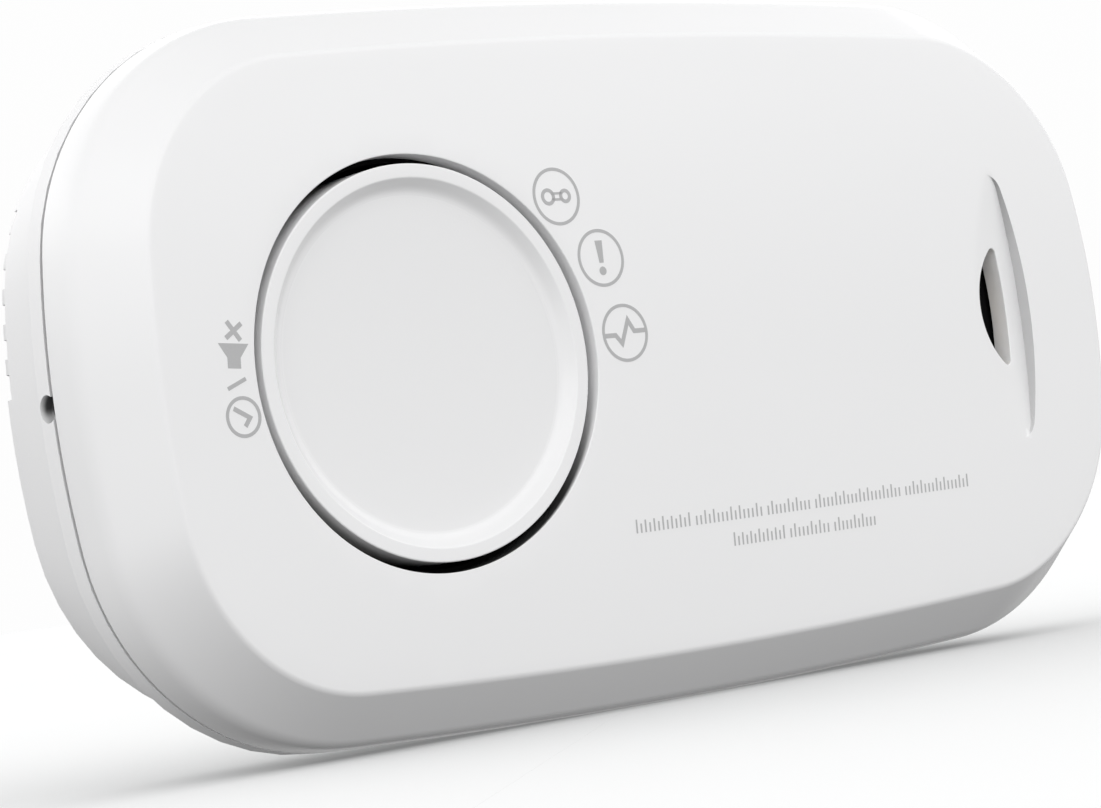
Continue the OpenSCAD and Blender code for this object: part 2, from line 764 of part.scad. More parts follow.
module door_foam_strip() in_body() color("dimgray") door_pose()
  translate([8, door_front - 1.3, -2]) cube([36, 1.3, 4]);

module door_hinge_pin() in_body() color("silver") translate([hinge_x, hinge_d, 0])
  cylinder(r = hinge_pin_r, h = 25.8, center = true);

module rating_label() in_body() color("gainsboro") door_pose() at(29, 0)
  deep(body_d, body_d + 0.12) rounded_rect(32, 22, 1.5);

module case_screws() in_body() color("silver") corners(case_screw_pos[0], case_screw_pos[1]) difference() {
  union() {
    post(2.6, case_head_front, case_head_front + case_head_t);
    post(1.1, 5.4, case_head_front + tiny);
  }
  cross_recess(case_head_front + case_head_t, 3, 0.9);
}

// ---------------------------------------------------------------- wall plate

module wall_plate() in_body() color("whitesmoke") {
  front = body_d + plate_gap;
  difference() {
    deep(front, total_d) difference() {
      translate([plate_mid_x, 0]) rounded_rect(plate_size[0], plate_size[1], plate_size[2]);
      translate([plate_open_x, -plate_open_half_h]) square([plate_size[0], 2 * plate_open_half_h]);
    }
    for (j = [-1, 1]) at(plate_hole_x, j * plate_hole_pitch / 2) {
      post(plate_hole_r, 20, 30);
      turned() polygon([[0, front - 1], [plate_hole_r + 2.6, front - 1], [plate_hole_r + 1.6, front],
        [plate_hole_r, front + 1.6], [0, front + 1.6]]);
    }
    // Level mark
    translate([-12, front - 1, -0.5]) cube([7, 1.4, 1]);
  }
  for (x = hook_x, j = [-1, 1]) at(x, j * hook_z) {
    translate([-hook_stem[0] / 2, inner_back_d - 0.7, -hook_stem[1] / 2])
      cube([hook_stem[0], front - inner_back_d + 0.7 + tiny, hook_stem[1]]);
    translate([-hook_stem[0] / 2, inner_back_d - 1.7, -hook_head_z / 2])
      cube([hook_stem[0], 1.4, hook_head_z]);
  }
}

front_cover();
rear_housing();
test_button();
button_guide_ring();
button_springs();
main_board();
board_components();
microcontroller();
reservoir_capacitor();
sounder_coil();
switch_body();
switch_plunger();
alarm_led();
fault_led();
power_led();
alarm_light_guide();
fault_light_guide();
power_light_guide();
light_shroud();
sensor_can();
sensor_cap();
sensor_pins();
sensor_seal();
vent_mesh();
sounder_horn();
sounder_gasket();
piezo_disc();
piezo_ceramic();
sounder_clamp_ring();
sounder_lead_red();
sounder_lead_black();
upper_cell();
lower_cell();
cell_springs();
cell_contacts();
bridge_contact();
battery_door();
door_foam_strip();
door_hinge_pin();
rating_label();
case_screws();
board_screws();
wall_plate();
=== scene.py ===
"""Looks of a carbon monoxide detector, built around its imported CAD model.

Everything is in metres in the CAD model's frame: X to the right as the face is seen, the face
looks to -Y, Z is up. Shapes are worked out in millimetres as [x, depth, height], where depth
counts back from the front of the face and height counts from the middle of the body.
"""
import math

import bmesh
import bpy
import numpy as np
from mathutils import Matrix, Vector
from mathutils.geometry import delaunay_2d_cdt


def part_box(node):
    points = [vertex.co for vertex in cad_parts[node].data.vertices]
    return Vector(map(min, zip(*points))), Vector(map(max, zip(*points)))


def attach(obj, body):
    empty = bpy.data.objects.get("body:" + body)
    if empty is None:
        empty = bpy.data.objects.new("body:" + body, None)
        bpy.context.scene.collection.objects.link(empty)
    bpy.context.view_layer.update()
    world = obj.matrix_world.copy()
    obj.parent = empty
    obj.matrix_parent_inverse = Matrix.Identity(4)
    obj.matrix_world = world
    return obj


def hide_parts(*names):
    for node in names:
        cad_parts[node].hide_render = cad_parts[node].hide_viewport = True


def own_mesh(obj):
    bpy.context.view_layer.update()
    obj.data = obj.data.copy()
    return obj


bl_info = {
    "name": "Carbon Monoxide Detector",
    "version": (1, 0, 0),
    "blender": (4, 5, 0),
    "location": "View3D > Sidebar > Detector",
    "description": "Builds the cover, button, marks, case and inner parts of a gas alarm",
    "category": "Object",
}

MM = 0.001
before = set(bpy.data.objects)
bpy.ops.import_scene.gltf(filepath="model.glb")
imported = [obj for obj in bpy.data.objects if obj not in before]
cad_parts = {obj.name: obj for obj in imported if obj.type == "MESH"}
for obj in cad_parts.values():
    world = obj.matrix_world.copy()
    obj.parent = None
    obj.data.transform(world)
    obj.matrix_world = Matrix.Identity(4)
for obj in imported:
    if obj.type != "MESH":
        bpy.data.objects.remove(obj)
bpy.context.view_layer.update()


def middle(node):
    """Middle of a CAD node's box."""
    low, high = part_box(node)
    return (low + high) / 2


def span(node, axis):
    """Size of a CAD node's box along an axis, in millimetres."""
    low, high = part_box(node)
    return (high[axis] - low[axis]) / MM


# Where the frame puts the face and the middle of the body
FACE_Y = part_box("front_cover")[0].y
MID_Z = middle("test_button").z
BUTTON_X = middle("test_button").x / MM
BUTTON_R = span("test_button", 0) / 2
HALF_W = span("front_cover", 0) / 2
HALF_H = (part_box("front_cover")[1].z - MID_Z) / MM
SEAM_D = span("front_cover", 1)
BASE_Z = -MID_Z / MM

# The case's outline, as the CAD model has it: [corner radius, long bow, short bow]
SEAM_SHAPE = np.array([22.8, 2.16, 5.84])
CREASE_SHAPE = np.array([17.4, 1.85, 5.1])
CREASE_IN = (3.9, 6.26)
EDGE_D = 6.8
EDGE_IN = 0.26
FACE_CURVE_R = 217.0
FACE_T = 2.2
WALL_T = 2.0
HOLE_R = 18.4
ICON_ANGLES = (39.6, 21.0, 2.3)
ICON_REACH = (21.6, 22.0, 22.0)

# Dished recess and sound slot at the right end
RECESS_RIGHT = 46.45
RECESS_EDGE_R = 52.0
RECESS_HALF_H = 13.4
RECESS_CORNER_R = 2.2
BOWL_R = 231.0
BOWL_X = 84.8
BOWL_DEPTH = 4.47
SLOT_X = 42.9
SLOT_HALF_H = 5.85
SLOT_LEFT = 3.2
SLOT_RIGHT = 1.0
SLOT_TIP_R = 0.6
COLLAR_T = 0.7
COLLAR_BACK = 2.85

# Bore of the locking pin at the left end
LOCK_D = 12.0
LOCK_SHADE_R = 1.27

# Brightness of the studio from straight down (0) over the horizon (0.5) to straight up (1)
FRONT_SKY = ((0.2, 0.05), (0.34, 0.45), (0.42, 0.7), (0.498, 0.7), (0.502, 0.46), (0.56, 0.5),
             (0.64, 0.88), (0.72, 0.98), (0.86, 0.72), (0.94, 0.35), (1.0, 0.2))
BACK_SKY = ((0.2, 0.05), (0.34, 0.3), (0.42, 0.3), (0.5, 0.25), (0.56, 0.35), (0.63, 0.9),
            (0.72, 1.0), (0.8, 0.7), (0.88, 0.4), (1.0, 0.2))


def place(x, depth, height):
    """Millimetres in the body's own terms, as a place in the frame."""
    return Vector((x * MM, FACE_Y + depth * MM, MID_Z + height * MM))


# ------------------------------------------------------------------ node graphs


class Socket:
    """An output of a node that Python's operators work on."""

    def __init__(self, graph, link):
        self.graph = graph
        self.link = link

    def maths(self, operation, *others):
        return self.graph.node("ShaderNodeMath", {"operation": operation}, self, *others)

    def __add__(self, other):
        return self.maths("ADD", other)

    __radd__ = __add__

    def __sub__(self, other):
        return self.maths("SUBTRACT", other)

    def __rsub__(self, other):
        return self.graph.node("ShaderNodeMath", {"operation": "SUBTRACT"}, other, self)

    def __mul__(self, other):
        return self.maths("MULTIPLY", other)

    __rmul__ = __mul__

    def __truediv__(self, other):
        return self.maths("DIVIDE", other)

    def __gt__(self, other):
        return self.maths("GREATER_THAN", other)

    def __lt__(self, other):
        return self.maths("LESS_THAN", other)


class Graph:
    """A node tree that is built by calls."""

    def __init__(self, tree):
        self.tree = tree

    def node(self, kind, settings=None, *values, out=0, **named):
        """Adds a node, sets it up, feeds its inputs by order or name, and gives one output."""
        made = self.tree.nodes.new(kind)
        for key, value in (settings or {}).items():
            if key == "stops":
                ramp = made.color_ramp
                while len(ramp.elements) < len(value):
                    ramp.elements.new(0.5)
                for element, (position, colour) in zip(ramp.elements, value):
                    element.position = position
                    element.color = colour
            else:
                setattr(made, key, value)
        fed = list(enumerate(values)) + [(name.replace("_", " "), v) for name, v in named.items()]
        for key, value in fed:
            if value is None:
                continue
            if isinstance(value, Socket):
                self.tree.links.new(value.link, made.inputs[key])
            else:
                made.inputs[key].default_value = value
        return Socket(self, made.outputs[out]) if len(made.outputs) else made


class Finish(Graph):
    """A material with one Principled shader whose plain values sit on its own sockets."""

    def __init__(self, name, **values):
        self.material = bpy.data.materials.new(name)
        self.material.use_nodes = True
        super().__init__(self.material.node_tree)
        self.shader = self.tree.nodes["Principled BSDF"]
        self.place = self.node("ShaderNodeTexCoord", None, out=3)
        self.set(**values)

    def set(self, **values):
        for name, value in values.items():
            socket = self.shader.inputs[name.replace("_", " ")]
            if isinstance(value, Socket):
                self.tree.links.new(value.link, socket)
            else:
                socket.default_value = value
        return self

    def noise(self, scale, detail=3.0, roughness=0.5, stretch=None):
        """Noise in the object's metres; scale is features per metre."""
        at = self.place
        if stretch:
            at = self.node("ShaderNodeMapping", None, self.place, Scale=stretch)
        return self.node("ShaderNodeTexNoise", None, Vector=at, Scale=scale, Detail=detail,
                         Roughness=roughness)

    def mix(self, factor, one, two):
        """Colour that runs from one to two."""
        made = self.tree.nodes.new("ShaderNodeMix")
        made.data_type = "RGBA"
        for key, value in ((0, factor), (6, one), (7, two)):
            if isinstance(value, Socket):
                self.tree.links.new(value.link, made.inputs[key])
            else:
                made.inputs[key].default_value = value
        return Socket(self, made.outputs[2])

    def bump(self, height, depth, strength=1.0):
        """Relief of a height from 0 to 1 that is depth metres deep."""
        normal = self.node("ShaderNodeBump", None, Strength=strength, Distance=depth, Height=height)
        return self.set(Normal=normal)

    def axis(self, which):
        return self.node("ShaderNodeSeparateXYZ", None, self.place, out="XYZ".index(which))

    def distance(self, x, z):
        """Distance in the face's plane from a point, in metres."""
        dx = self.axis("X") - x
        dz = self.axis("Z") - z
        return (dx * dx + dz * dz).maths("SQRT")

    def between(self, value, low, high):
        """0 below low, 1 above high, smooth between."""
        return self.node("ShaderNodeMapRange", {"interpolation_type": "SMOOTHSTEP"}, value, low, high)


def tone(colour, by):
    """A colour made lighter or darker."""
    return [min(1.0, c * by) for c in colour[:3]] + [1.0]


# ------------------------------------------------------------------ finishes


def gloss_white(colour):
    """Glossy moulded white, with a faint orange-peel surface, flow shading, and painted shade in the seam, the
    lower gap round the button and the recess wall.
    """
    finish = Finish("gloss_white", Roughness=0.2, IOR=1.5)
    flow = finish.noise(28.0, 2.0, stretch=(1.0, 1.0, 2.2))
    clean = finish.mix(flow, tone(colour, 0.985), tone(colour, 1.01))
    # Painted shade, darker than the plastic is: in the seam, in the lower gap round the button, and on the
    # recess wall that faces left, darkest at its top
    seam = finish.between(finish.axis("Y"), place(0, SEAM_D - 0.2, 0).y, place(0, SEAM_D - 0.05, 0).y)
    # Painted shade: the hole's wall in the lower part of the gap round the button is near black
    deep = finish.between(finish.axis("Y"), place(0, 0.35, 0).y, place(0, 1.0, 0).y)
    under = finish.between(finish.axis("Z"), MID_Z - 2.0 * MM, MID_Z - 14.0 * MM)
    gap = (finish.distance(BUTTON_X * MM, MID_Z) < (HOLE_R + 0.02) * MM) * deep * under
    # Painted shade on the recess wall that faces left, darkest at its top where less light reaches
    faces_left = finish.node("ShaderNodeSeparateXYZ", None, finish.node("ShaderNodeTexCoord", None, out=1)) * -1
    wall = finish.between(faces_left, 0.25, 0.6) * (finish.axis("X") > 44.2 * MM)
    low = finish.between(finish.axis("Z"), MID_Z + 13.0 * MM, MID_Z + 4.0 * MM)
    shaded = finish.mix(low, tone(colour, 0.45), tone(colour, 0.68))
    clean = finish.mix(wall, clean, shaded)
    clean = finish.mix(gap, clean, tone(colour, 0.06))
    # Painted shade in the seam between the cover and the housing
    finish.set(Base_Color=finish.mix(seam, clean, tone(colour, 0.3)))
    finish.set(Roughness=0.17 + 0.05 * finish.noise(420.0, 4.0))
    finish.bump(finish.noise(260.0, 1.0), 0.000004)
    return finish.material


def satin_button(colour):
    """Button: a satin dish inside a glossy rim."""
    finish = Finish("satin_button", IOR=1.5)
    reach = finish.distance(BUTTON_X * MM, MID_Z)
    rim = finish.between(reach, (BUTTON_R - 2.9) * MM, (BUTTON_R - 2.5) * MM)
    grain = finish.noise(5200.0, 2.0)
    finish.set(Base_Color=finish.mix(rim, tone(colour, 0.97), tone(colour, 1.01)))
    finish.set(Roughness=0.36 + 0.04 * grain - rim * 0.18)
    finish.bump(grain * (1 - rim), 0.000006)
    return finish.material


def textured_white(name, colour, dust=0.0, shade=None):
    """Spark-eroded moulded white of the hidden sides; shade works on its colour."""
    finish = Finish(name, IOR=1.48)
    grain = finish.noise(3600.0, 3.0, 0.6)
    cloud = finish.noise(45.0, 3.0)
    clean = finish.mix(cloud, tone(colour, 0.965 - dust), tone(colour, 1.01))
    finish.set(Base_Color=shade(finish, clean) if shade else clean)
    finish.set(Roughness=0.38 + 0.12 * grain)
    finish.bump(grain, 0.000012)
    return finish.material


def painted_bore_shade(finish, clean):
    """Painted shade inside the locking pin's bore at the left end, darkest at its top."""
    dy = finish.axis("Y") - place(0, LOCK_D, 0).y
    dz = finish.axis("Z") - MID_Z
    off_axis = (dy * dy + dz * dz).maths("SQRT")
    inwards = finish.between(finish.axis("X"), -HALF_W * MM, (0.7 - HALF_W) * MM)
    in_bore = (off_axis < LOCK_SHADE_R * MM) * inwards * (finish.axis("X") < -50.0 * MM)
    at_top = 0.3 + 0.7 * finish.between(dz, -0.9 * MM, 0.2 * MM)
    return finish.mix(in_bore * at_top, clean, (0.05, 0.05, 0.05, 1.0))


def dark_plastic(name, colour, roughness=0.5, shine=0.5):
    """Black or grey moulded plastic with a fine grain."""
    finish = Finish(name, IOR=1.45, Specular_IOR_Level=shine)
    grain = finish.noise(2600.0, 3.0)
    finish.set(Base_Color=finish.mix(grain, tone(colour, 0.8), tone(colour, 1.25)))
    finish.set(Roughness=roughness - 0.06 + 0.12 * grain)
    finish.bump(grain, 0.00001)
    return finish.material


def printed_ink(colour):
    """Pad-printed grey ink with a slightly broken film."""
    finish = Finish("printed_ink", IOR=1.45)
    film = finish.noise(6000.0, 2.0)
    finish.set(Base_Color=finish.mix(film, tone(colour, 0.96), tone(colour, 1.05)))
    finish.set(Roughness=0.34 + 0.1 * film)
    return finish.material


def bare_metal(name, colour, roughness=0.25, stretch=None):
    """Metal with fine drawn or rolled lines and a little tarnish."""
    finish = Finish(name, Metallic=1.0)
    lines = finish.noise(1800.0, 4.0, stretch=stretch or (1.0, 8.0, 1.0))
    cloud = finish.noise(160.0, 3.0)
    finish.set(Base_Color=finish.mix(cloud, tone(colour, 0.88), tone(colour, 1.06)))
    finish.set(Roughness=roughness - 0.05 + 0.14 * lines)
    finish.bump(lines, 0.000004)
    return finish.material


def clear_resin(name, colour, clear=0.6):
    """Clear or tinted resin of the lights and their guides."""
    finish = Finish(name, IOR=1.49, Transmission_Weight=clear)
    haze = finish.noise(900.0, 2.0)
    finish.set(Base_Color=finish.mix(haze, tone(colour, 0.94), tone(colour, 1.04)))
    finish.set(Roughness=0.06 + 0.08 * haze)
    return finish.material


def soft_foam(name, colour, cell=2200.0):
    """Closed-cell foam or rubber."""
    finish = Finish(name, IOR=1.4, Specular_IOR_Level=0.1)
    pores = finish.node("ShaderNodeTexVoronoi", None, Vector=finish.place, Scale=cell)
    finish.set(Base_Color=finish.mix(pores, tone(colour, 0.6), tone(colour, 1.3)))
    finish.set(Roughness=0.75 + 0.15 * pores)
    finish.bump(pores, 0.00005, 0.7)
    return finish.material


# ------------------------------------------------------------------ mesh helpers


def add_object(name, mesh, material=None):
    made = bpy.data.objects.new(name, mesh)
    bpy.context.scene.collection.objects.link(made)
    if material:
        mesh.materials.clear()
        mesh.materials.append(material)
    return made


def smooth(mesh, angle=35.0):
    """Smooth shading, with edges sharper than the angle kept."""
    mesh.shade_smooth()
    mesh.set_sharp_from_angle(angle=math.radians(angle))


class Build:
    """Points and faces in [x, depth, height] millimetres that become one mesh."""

    def __init__(self):
        self.points = []
        self.faces = []

    def add(self, points):
        first = len(self.points)
        self.points.extend(tuple(float(c) for c in p) for p in points)
        return list(range(first, len(self.points)))

    def strip(self, one, two):
        """Quads between two closed rows of points."""
        n = len(one)
        for i in range(n):
            j = (i + 1) % n
            self.faces.append((one[i], one[j], two[j], two[i]))

    def mesh(self, name):
        """One mesh with its points joined and its faces looking outwards."""
        merge = 0.002 * MM
        bm = bmesh.new()
        verts = [bm.verts.new(place(*p)) for p in self.points]
        for face in self.faces:
            if len(set(face)) > 2:
                try:
                    bm.faces.new([verts[i] for i in face])
                except ValueError:
                    pass
        bmesh.ops.remove_doubles(bm, verts=bm.verts, dist=merge)
        bmesh.ops.dissolve_degenerate(bm, edges=bm.edges, dist=merge * 0.1)
        loose = [v for v in bm.verts if not v.link_faces]
        bmesh.ops.delete(bm, geom=loose, context="VERTS")
        bmesh.ops.recalc_face_normals(bm, faces=bm.faces)
        made = bpy.data.meshes.new(name)
        bm.to_mesh(made)
        bm.free()
        return made


def bezier(a, control, b, steps):
    """Rows of points along quadratic curves from rows a to rows b, ends included."""
    return [(1 - t) ** 2 * a + 2 * t * (1 - t) * control + t * t * b
            for t in np.linspace(0.0, 1.0, steps + 1)]


def arc(centre, radius, start, end, count):
    """Arc of count steps, without its last point; angles in radians."""
    turn = np.linspace(start, end, count + 1)[:-1]
    return np.array(centre) + radius * np.stack([np.cos(turn), np.sin(turn)], 1)


def bowed(a, b, shape, counts=(10, 26, 18)):
    """Rounded rectangle whose sides bow out, anticlockwise from its right end, as [x, z] rows."""
    r, long_bow, short_bow = shape
    long_r = (a * a + long_bow**2) / (2 * long_bow)
    short_r = (b * b + short_bow**2) / (2 * short_bow)
    long_c = np.array([0.0, b - long_r])
    short_c = np.array([a - short_r, 0.0])
    gap = np.linalg.norm(short_c - long_c)
    u = (short_c - long_c) / gap
    along = ((long_r - r) ** 2 - (short_r - r) ** 2 + gap**2) / (2 * gap)
    aside = math.sqrt((long_r - r) ** 2 - along**2)
    c = long_c + along * u + aside * np.array([u[1], -u[0]])
    a_short = math.atan2(*(c - short_c)[::-1])
    a_long = math.atan2(*(c - long_c)[::-1])
    quarter = np.concatenate([
        arc(short_c, short_r, 0.0, a_short, counts[0]),
        arc(c, r, a_short, a_long, counts[1]),
        arc(long_c, long_r, a_long, math.pi / 2, counts[2]),
        [[0.0, b]],
    ])
    return np.concatenate([
        quarter,
        quarter[-2::-1] * [-1, 1],
        quarter[1:] * [-1, -1],
        quarter[-2:0:-1] * [1, -1],
    ])


def face_depth(z, inset=0.0):
    """Depth of the face, or of its inner side, at a height."""
    r = FACE_CURVE_R - inset
    return FACE_CURVE_R - np.sqrt(r * r - np.square(z))


def row(ring, depth):
    """[x, z] rows at a depth, as [x, depth, height] rows."""
    depth = np.broadcast_to(depth, len(ring))
    return np.stack([ring[:, 0], depth, ring[:, 1]], 1)


def slope_ring(depth, inset):
    """The cover's outline at a depth along its slope."""
    t = depth / EDGE_D
    a = HALF_W - (1 - t) * CREASE_IN[0] - t * EDGE_IN - inset
    b = HALF_H - (1 - t) * CREASE_IN[1] - t * EDGE_IN - inset
    shape = (1 - t) * CREASE_SHAPE + t * SEAM_SHAPE - np.array([inset, 0.0, 0.0])
    return row(bowed(a, b, shape), depth)


def side_ring(depth, inset):
    """The case's outline on its straight side."""
    return row(bowed(HALF_W - inset, HALF_H - inset, SEAM_SHAPE - np.array([inset, 0.0, 0.0])), depth)


def unit(rows):
    return rows / np.linalg.norm(rows, axis=1, keepdims=True)


def meet_face(start, end, inset):
    """Where the lines from start to end cross the face or its inner side."""
    low, high = np.zeros(len(start)), np.ones(len(start))
    for _ in range(40):
        t = (low + high) / 2
        at = start + (end - start) * t[:, None]
        outside = at[:, 1] < face_depth(at[:, 2], inset)
        low, high = np.where(outside, t, low), np.where(outside, high, t)
    return start + (end - start) * t[:, None]


def fill(loops, guides, step, fine=(), holes=()):
    """Triangulates a flat region: loops are closed rows of [x, z], guides are open ones.

    Grid points fill the first loop at the step, and each fine box [low, high, step] at its own.
    Triangles whose middle is in a hole are dropped.
    """
    points, edges = [], []
    for line, closed in [(l, True) for l in loops] + [(g, False) for g in guides]:
        first = len(points)
        points.extend(Vector(p) for p in line)
        count = len(line)
        edges += [(first + i, first + (i + 1) % count) for i in range(count if closed else count - 1)]
    fixed = np.array([tuple(p) for p in points])
    low, high = fixed.min(0), fixed.max(0)
    grids = [(low, high, step)] + [(np.array(f[0]), np.array(f[1]), f[2]) for f in fine]
    taken = fixed
    for g_low, g_high, g_step in reversed(grids):
        xs = np.arange(g_low[0], g_high[0], g_step)
        zs = np.arange(g_low[1], g_high[1], g_step * 0.866)
        gx, gz = np.meshgrid(xs, zs)
        gx[1::2] += g_step / 2
        spots = np.stack([gx.ravel(), gz.ravel()], 1)
        for at in range(0, len(spots), 4000):
            part = spots[at:at + 4000]
            gaps = np.sqrt(((part[:, None] - taken[None]) ** 2).sum(2)).min(1)
            keep = part[gaps > g_step * 0.6]
            keep = keep[inside(keep, loops[0])]
            points.extend(Vector(p) for p in keep)
        taken = np.array([tuple(p) for p in points])
    made = delaunay_2d_cdt(points, edges, [], 0, 1e-6)
    verts = np.array([tuple(v) for v in made[0]])
    tris = [f for f in made[2] if len(f) == 3]
    centres = np.array([verts[list(t)].mean(0) for t in tris])
    keep = inside(centres, loops[0])
    for hole in holes:
        keep &= ~inside(centres, hole)
    return verts, [t for t, k in zip(tris, keep) if k]


def inside(points, loop):
    """Which points are in a closed loop."""
    x, z = points[:, 0], points[:, 1]
    found = np.zeros(len(points), bool)
    previous = loop[-1]
    for current in loop:
        (x0, z0), (x1, z1) = previous, current
        if z0 != z1:
            crosses = ((z0 > z) != (z1 > z)) & (x < (x1 - x0) * (z - z0) / (z1 - z0) + x0)
            found ^= crosses
        previous = current
    return found


def circle(x, z, radius, count):
    turn = np.linspace(0, 2 * math.pi, count, endpoint=False)
    return np.stack([x + radius * np.cos(turn), z + radius * np.sin(turn)], 1)


def slot_loop(grow):
    """Outline of the sound slot, as [x, z] rows, larger all round by grow."""
    v = SLOT_HALF_H - SLOT_TIP_R
    left, right = [(u * u + v * v - SLOT_TIP_R**2) / (2 * (u - SLOT_TIP_R)) for u in (SLOT_LEFT, SLOT_RIGHT)]
    a_right = math.atan2(v, right - SLOT_RIGHT)
    a_left = math.atan2(v, SLOT_LEFT - left)
    return np.concatenate([
        arc((SLOT_RIGHT - right, 0), right + grow, -a_right, a_right, 36),
        arc((0, v), SLOT_TIP_R + grow, a_right, a_left, 14),
        arc((left - SLOT_LEFT, 0), left + grow, a_left, 2 * math.pi - a_left, 44),
        arc((0, -v), SLOT_TIP_R + grow, 2 * math.pi - a_left, 2 * math.pi - a_right, 14),
    ]) + [SLOT_X, 0.0]


def recess_line(inset):
    """Edge of the recess, from its lower left round its right wall to its upper left."""
    v = RECESS_HALF_H - RECESS_CORNER_R
    centre = RECESS_RIGHT - RECESS_EDGE_R
    x = centre + math.sqrt((RECESS_EDGE_R - RECESS_CORNER_R) ** 2 - v * v)
    a = math.atan2(v, x - centre)
    corner = RECESS_CORNER_R - inset
    reach = x - 14, RECESS_HALF_H - inset
    return np.concatenate([
        [[reach[0], -reach[1]], [x - 6, -reach[1]]],
        arc((x, -v), corner, -math.pi / 2, -a, 14),
        arc((centre, 0), RECESS_EDGE_R - inset, -a, a, 60),
        arc((x, v), corner, a, math.pi / 2, 14),
        [[x, reach[1]], [x - 6, reach[1]], [reach[0], reach[1]]],
    ])


def gap_to(points, line):
    """Distance from [x, z] rows to a line of rows."""
    best = np.full(len(points), 1e9)
    for a, b in zip(line[:-1], line[1:]):
        way = b - a
        t = np.clip(((points - a) @ way) / (way @ way), 0, 1)
        best = np.minimum(best, np.linalg.norm(points - a - t[:, None] * way, axis=1))
    return best


WALL_STEPS = (-0.05, 0.01, 0.05, 0.1)


def scoop_cut(points):
    """How deep the dished recess cuts below the face at [x, z] rows."""
    x, z = points[:, 0], points[:, 1]
    bowl = BOWL_DEPTH - BOWL_R + np.sqrt(BOWL_R**2 - (x - BOWL_X) ** 2 - z**2)
    raw = bowl - face_depth(z)
    soft = 0.05
    cut = np.where(raw < -1.0, 0.0, np.maximum((raw + np.sqrt(raw * raw + soft * soft)) / 2 - 0.001, 0.0))
    edge = recess_line(0.0)
    near = gap_to(points, edge) * np.where(inside(points, edge), 1, -1)
    t = np.clip((near - WALL_STEPS[0]) / (WALL_STEPS[-1] - WALL_STEPS[0]), 0, 1)
    return cut * t * t * (3 - 2 * t)


# ------------------------------------------------------------------ front cover


def cover_mesh(edge_soft):
    """The front cover: bowed face with its openings, eased crease, slope, side and inner walls."""
    build = Build()
    base, edge, seam = slope_ring(-0.5, 0.0), slope_ring(EDGE_D, 0.0), side_ring(SEAM_D, 0.0)
    crease = meet_face(base, edge, 0.0)
    down = unit(edge - crease)
    level = down * [1, 0, 1]
    level = level / np.linalg.norm(level, axis=1, keepdims=True)
    on_face = crease - edge_soft * level
    on_face[:, 1] = face_depth(on_face[:, 2])
    on_slope = crease + edge_soft * down
    wall = unit(seam - edge)
    lip = 0.2
    inner = [side_ring(SEAM_D, WALL_T), slope_ring(EDGE_D, WALL_T),
             meet_face(slope_ring(-0.5, WALL_T), slope_ring(EDGE_D, WALL_T), FACE_T)]
    profile = bezier(on_face, crease, on_slope, 7)
    profile += bezier(edge - 1.1 * down, edge, edge + 1.1 * wall, 7)
    profile += bezier(seam - lip * wall, seam, side_ring(SEAM_D, lip), 3)
    rings = [build.add(np.maximum(p, [-np.inf, -np.inf, BASE_Z])) for p in profile + inner]
    for one, two in zip(rings, rings[1:]):
        build.strip(one, two)

    hole_soft = 0.14
    slot_soft = 0.12
    hole_top = circle(BUTTON_X, 0, HOLE_R + hole_soft, 160)
    hole_wall = circle(BUTTON_X, 0, HOLE_R, 160)
    slot_top, slot_wall, collar = slot_loop(slot_soft), slot_loop(0.0), slot_loop(COLLAR_T)
    guides = [recess_line(step)[2:-2] for step in WALL_STEPS]
    face_loop = on_face[:, [0, 2]]
    verts, tris = fill([face_loop, hole_top, slot_top], guides, 1.7,
                       fine=[((34.0, -15.0), (47.0, 15.0), 0.55)], holes=[hole_top, slot_top])
    depth = face_depth(verts[:, 1]) + scoop_cut(verts)
    ids = build.add(row(verts, depth))
    build.faces += [tuple(ids[i] for i in t) for t in tris]

    inner_loop = inner[-1][:, [0, 2]]
    verts, tris = fill([inner_loop, hole_wall, collar], [], 4.0, holes=[hole_wall, collar])
    ids = build.add(row(verts, face_depth(verts[:, 1], FACE_T)))
    build.faces += [tuple(ids[i] for i in reversed(t)) for t in tris]

    # Walls of the two openings, with eased front edges
    for top, bottom, soft in ((hole_top, hole_wall, hole_soft), (slot_top, slot_wall, slot_soft)):
        up = row(top, face_depth(top[:, 1]) + scoop_cut(top))
        corner = row(bottom, face_depth(bottom[:, 1]) + scoop_cut(bottom))
        low = corner + [0, soft, 0]
        ids = [build.add(p) for p in bezier(up, corner, low, 4)]
        if top is slot_top:
            ids += [build.add(row(loop, COLLAR_BACK)) for loop in (bottom, collar)]
            bottom = collar
        ids.append(build.add(row(bottom, face_depth(bottom[:, 1], FACE_T))))
        for one, two in zip(ids, ids[1:]):
            build.strip(one, two)
    return build.mesh("front_cover_shell")


# ------------------------------------------------------------------ test button


def turned_mesh(name, profile, x, z, count=160):
    """Solid turned about the depth axis at x, z from a profile of [radius, depth] rows."""
    build = Build()
    turn = np.linspace(0, 2 * math.pi, count, endpoint=False)
    rings = []
    for radius, depth in profile:
        rows = np.stack([x + radius * np.cos(turn), np.full(count, depth), z + radius * np.sin(turn)], 1)
        rings.append(build.add(rows))
    for one, two in zip(rings, rings[1:]):
        build.strip(one, two)
    return build.mesh(name)


def eased(corners, radius, steps=4):
    """A profile with its inner corners rounded: corners are [x, y, optional radius]."""
    rows = [np.array(corners[0][:2], float)]
    for before, here, after in zip(corners, corners[1:], corners[2:]):
        soft = here[2] if len(here) > 2 else radius
        b, h, a = (np.array(p[:2], float) for p in (before, here, after))
        one, two = b - h, a - h
        soft = min(soft, 0.45 * np.linalg.norm(one), 0.45 * np.linalg.norm(two))
        start = h + one / np.linalg.norm(one) * soft
        end = h + two / np.linalg.norm(two) * soft
        rows += [(1 - t) ** 2 * start + 2 * t * (1 - t) * h + t * t * end
                 for t in np.linspace(0, 1, steps + 1)]
    rows.append(np.array(corners[-1][:2], float))
    return rows


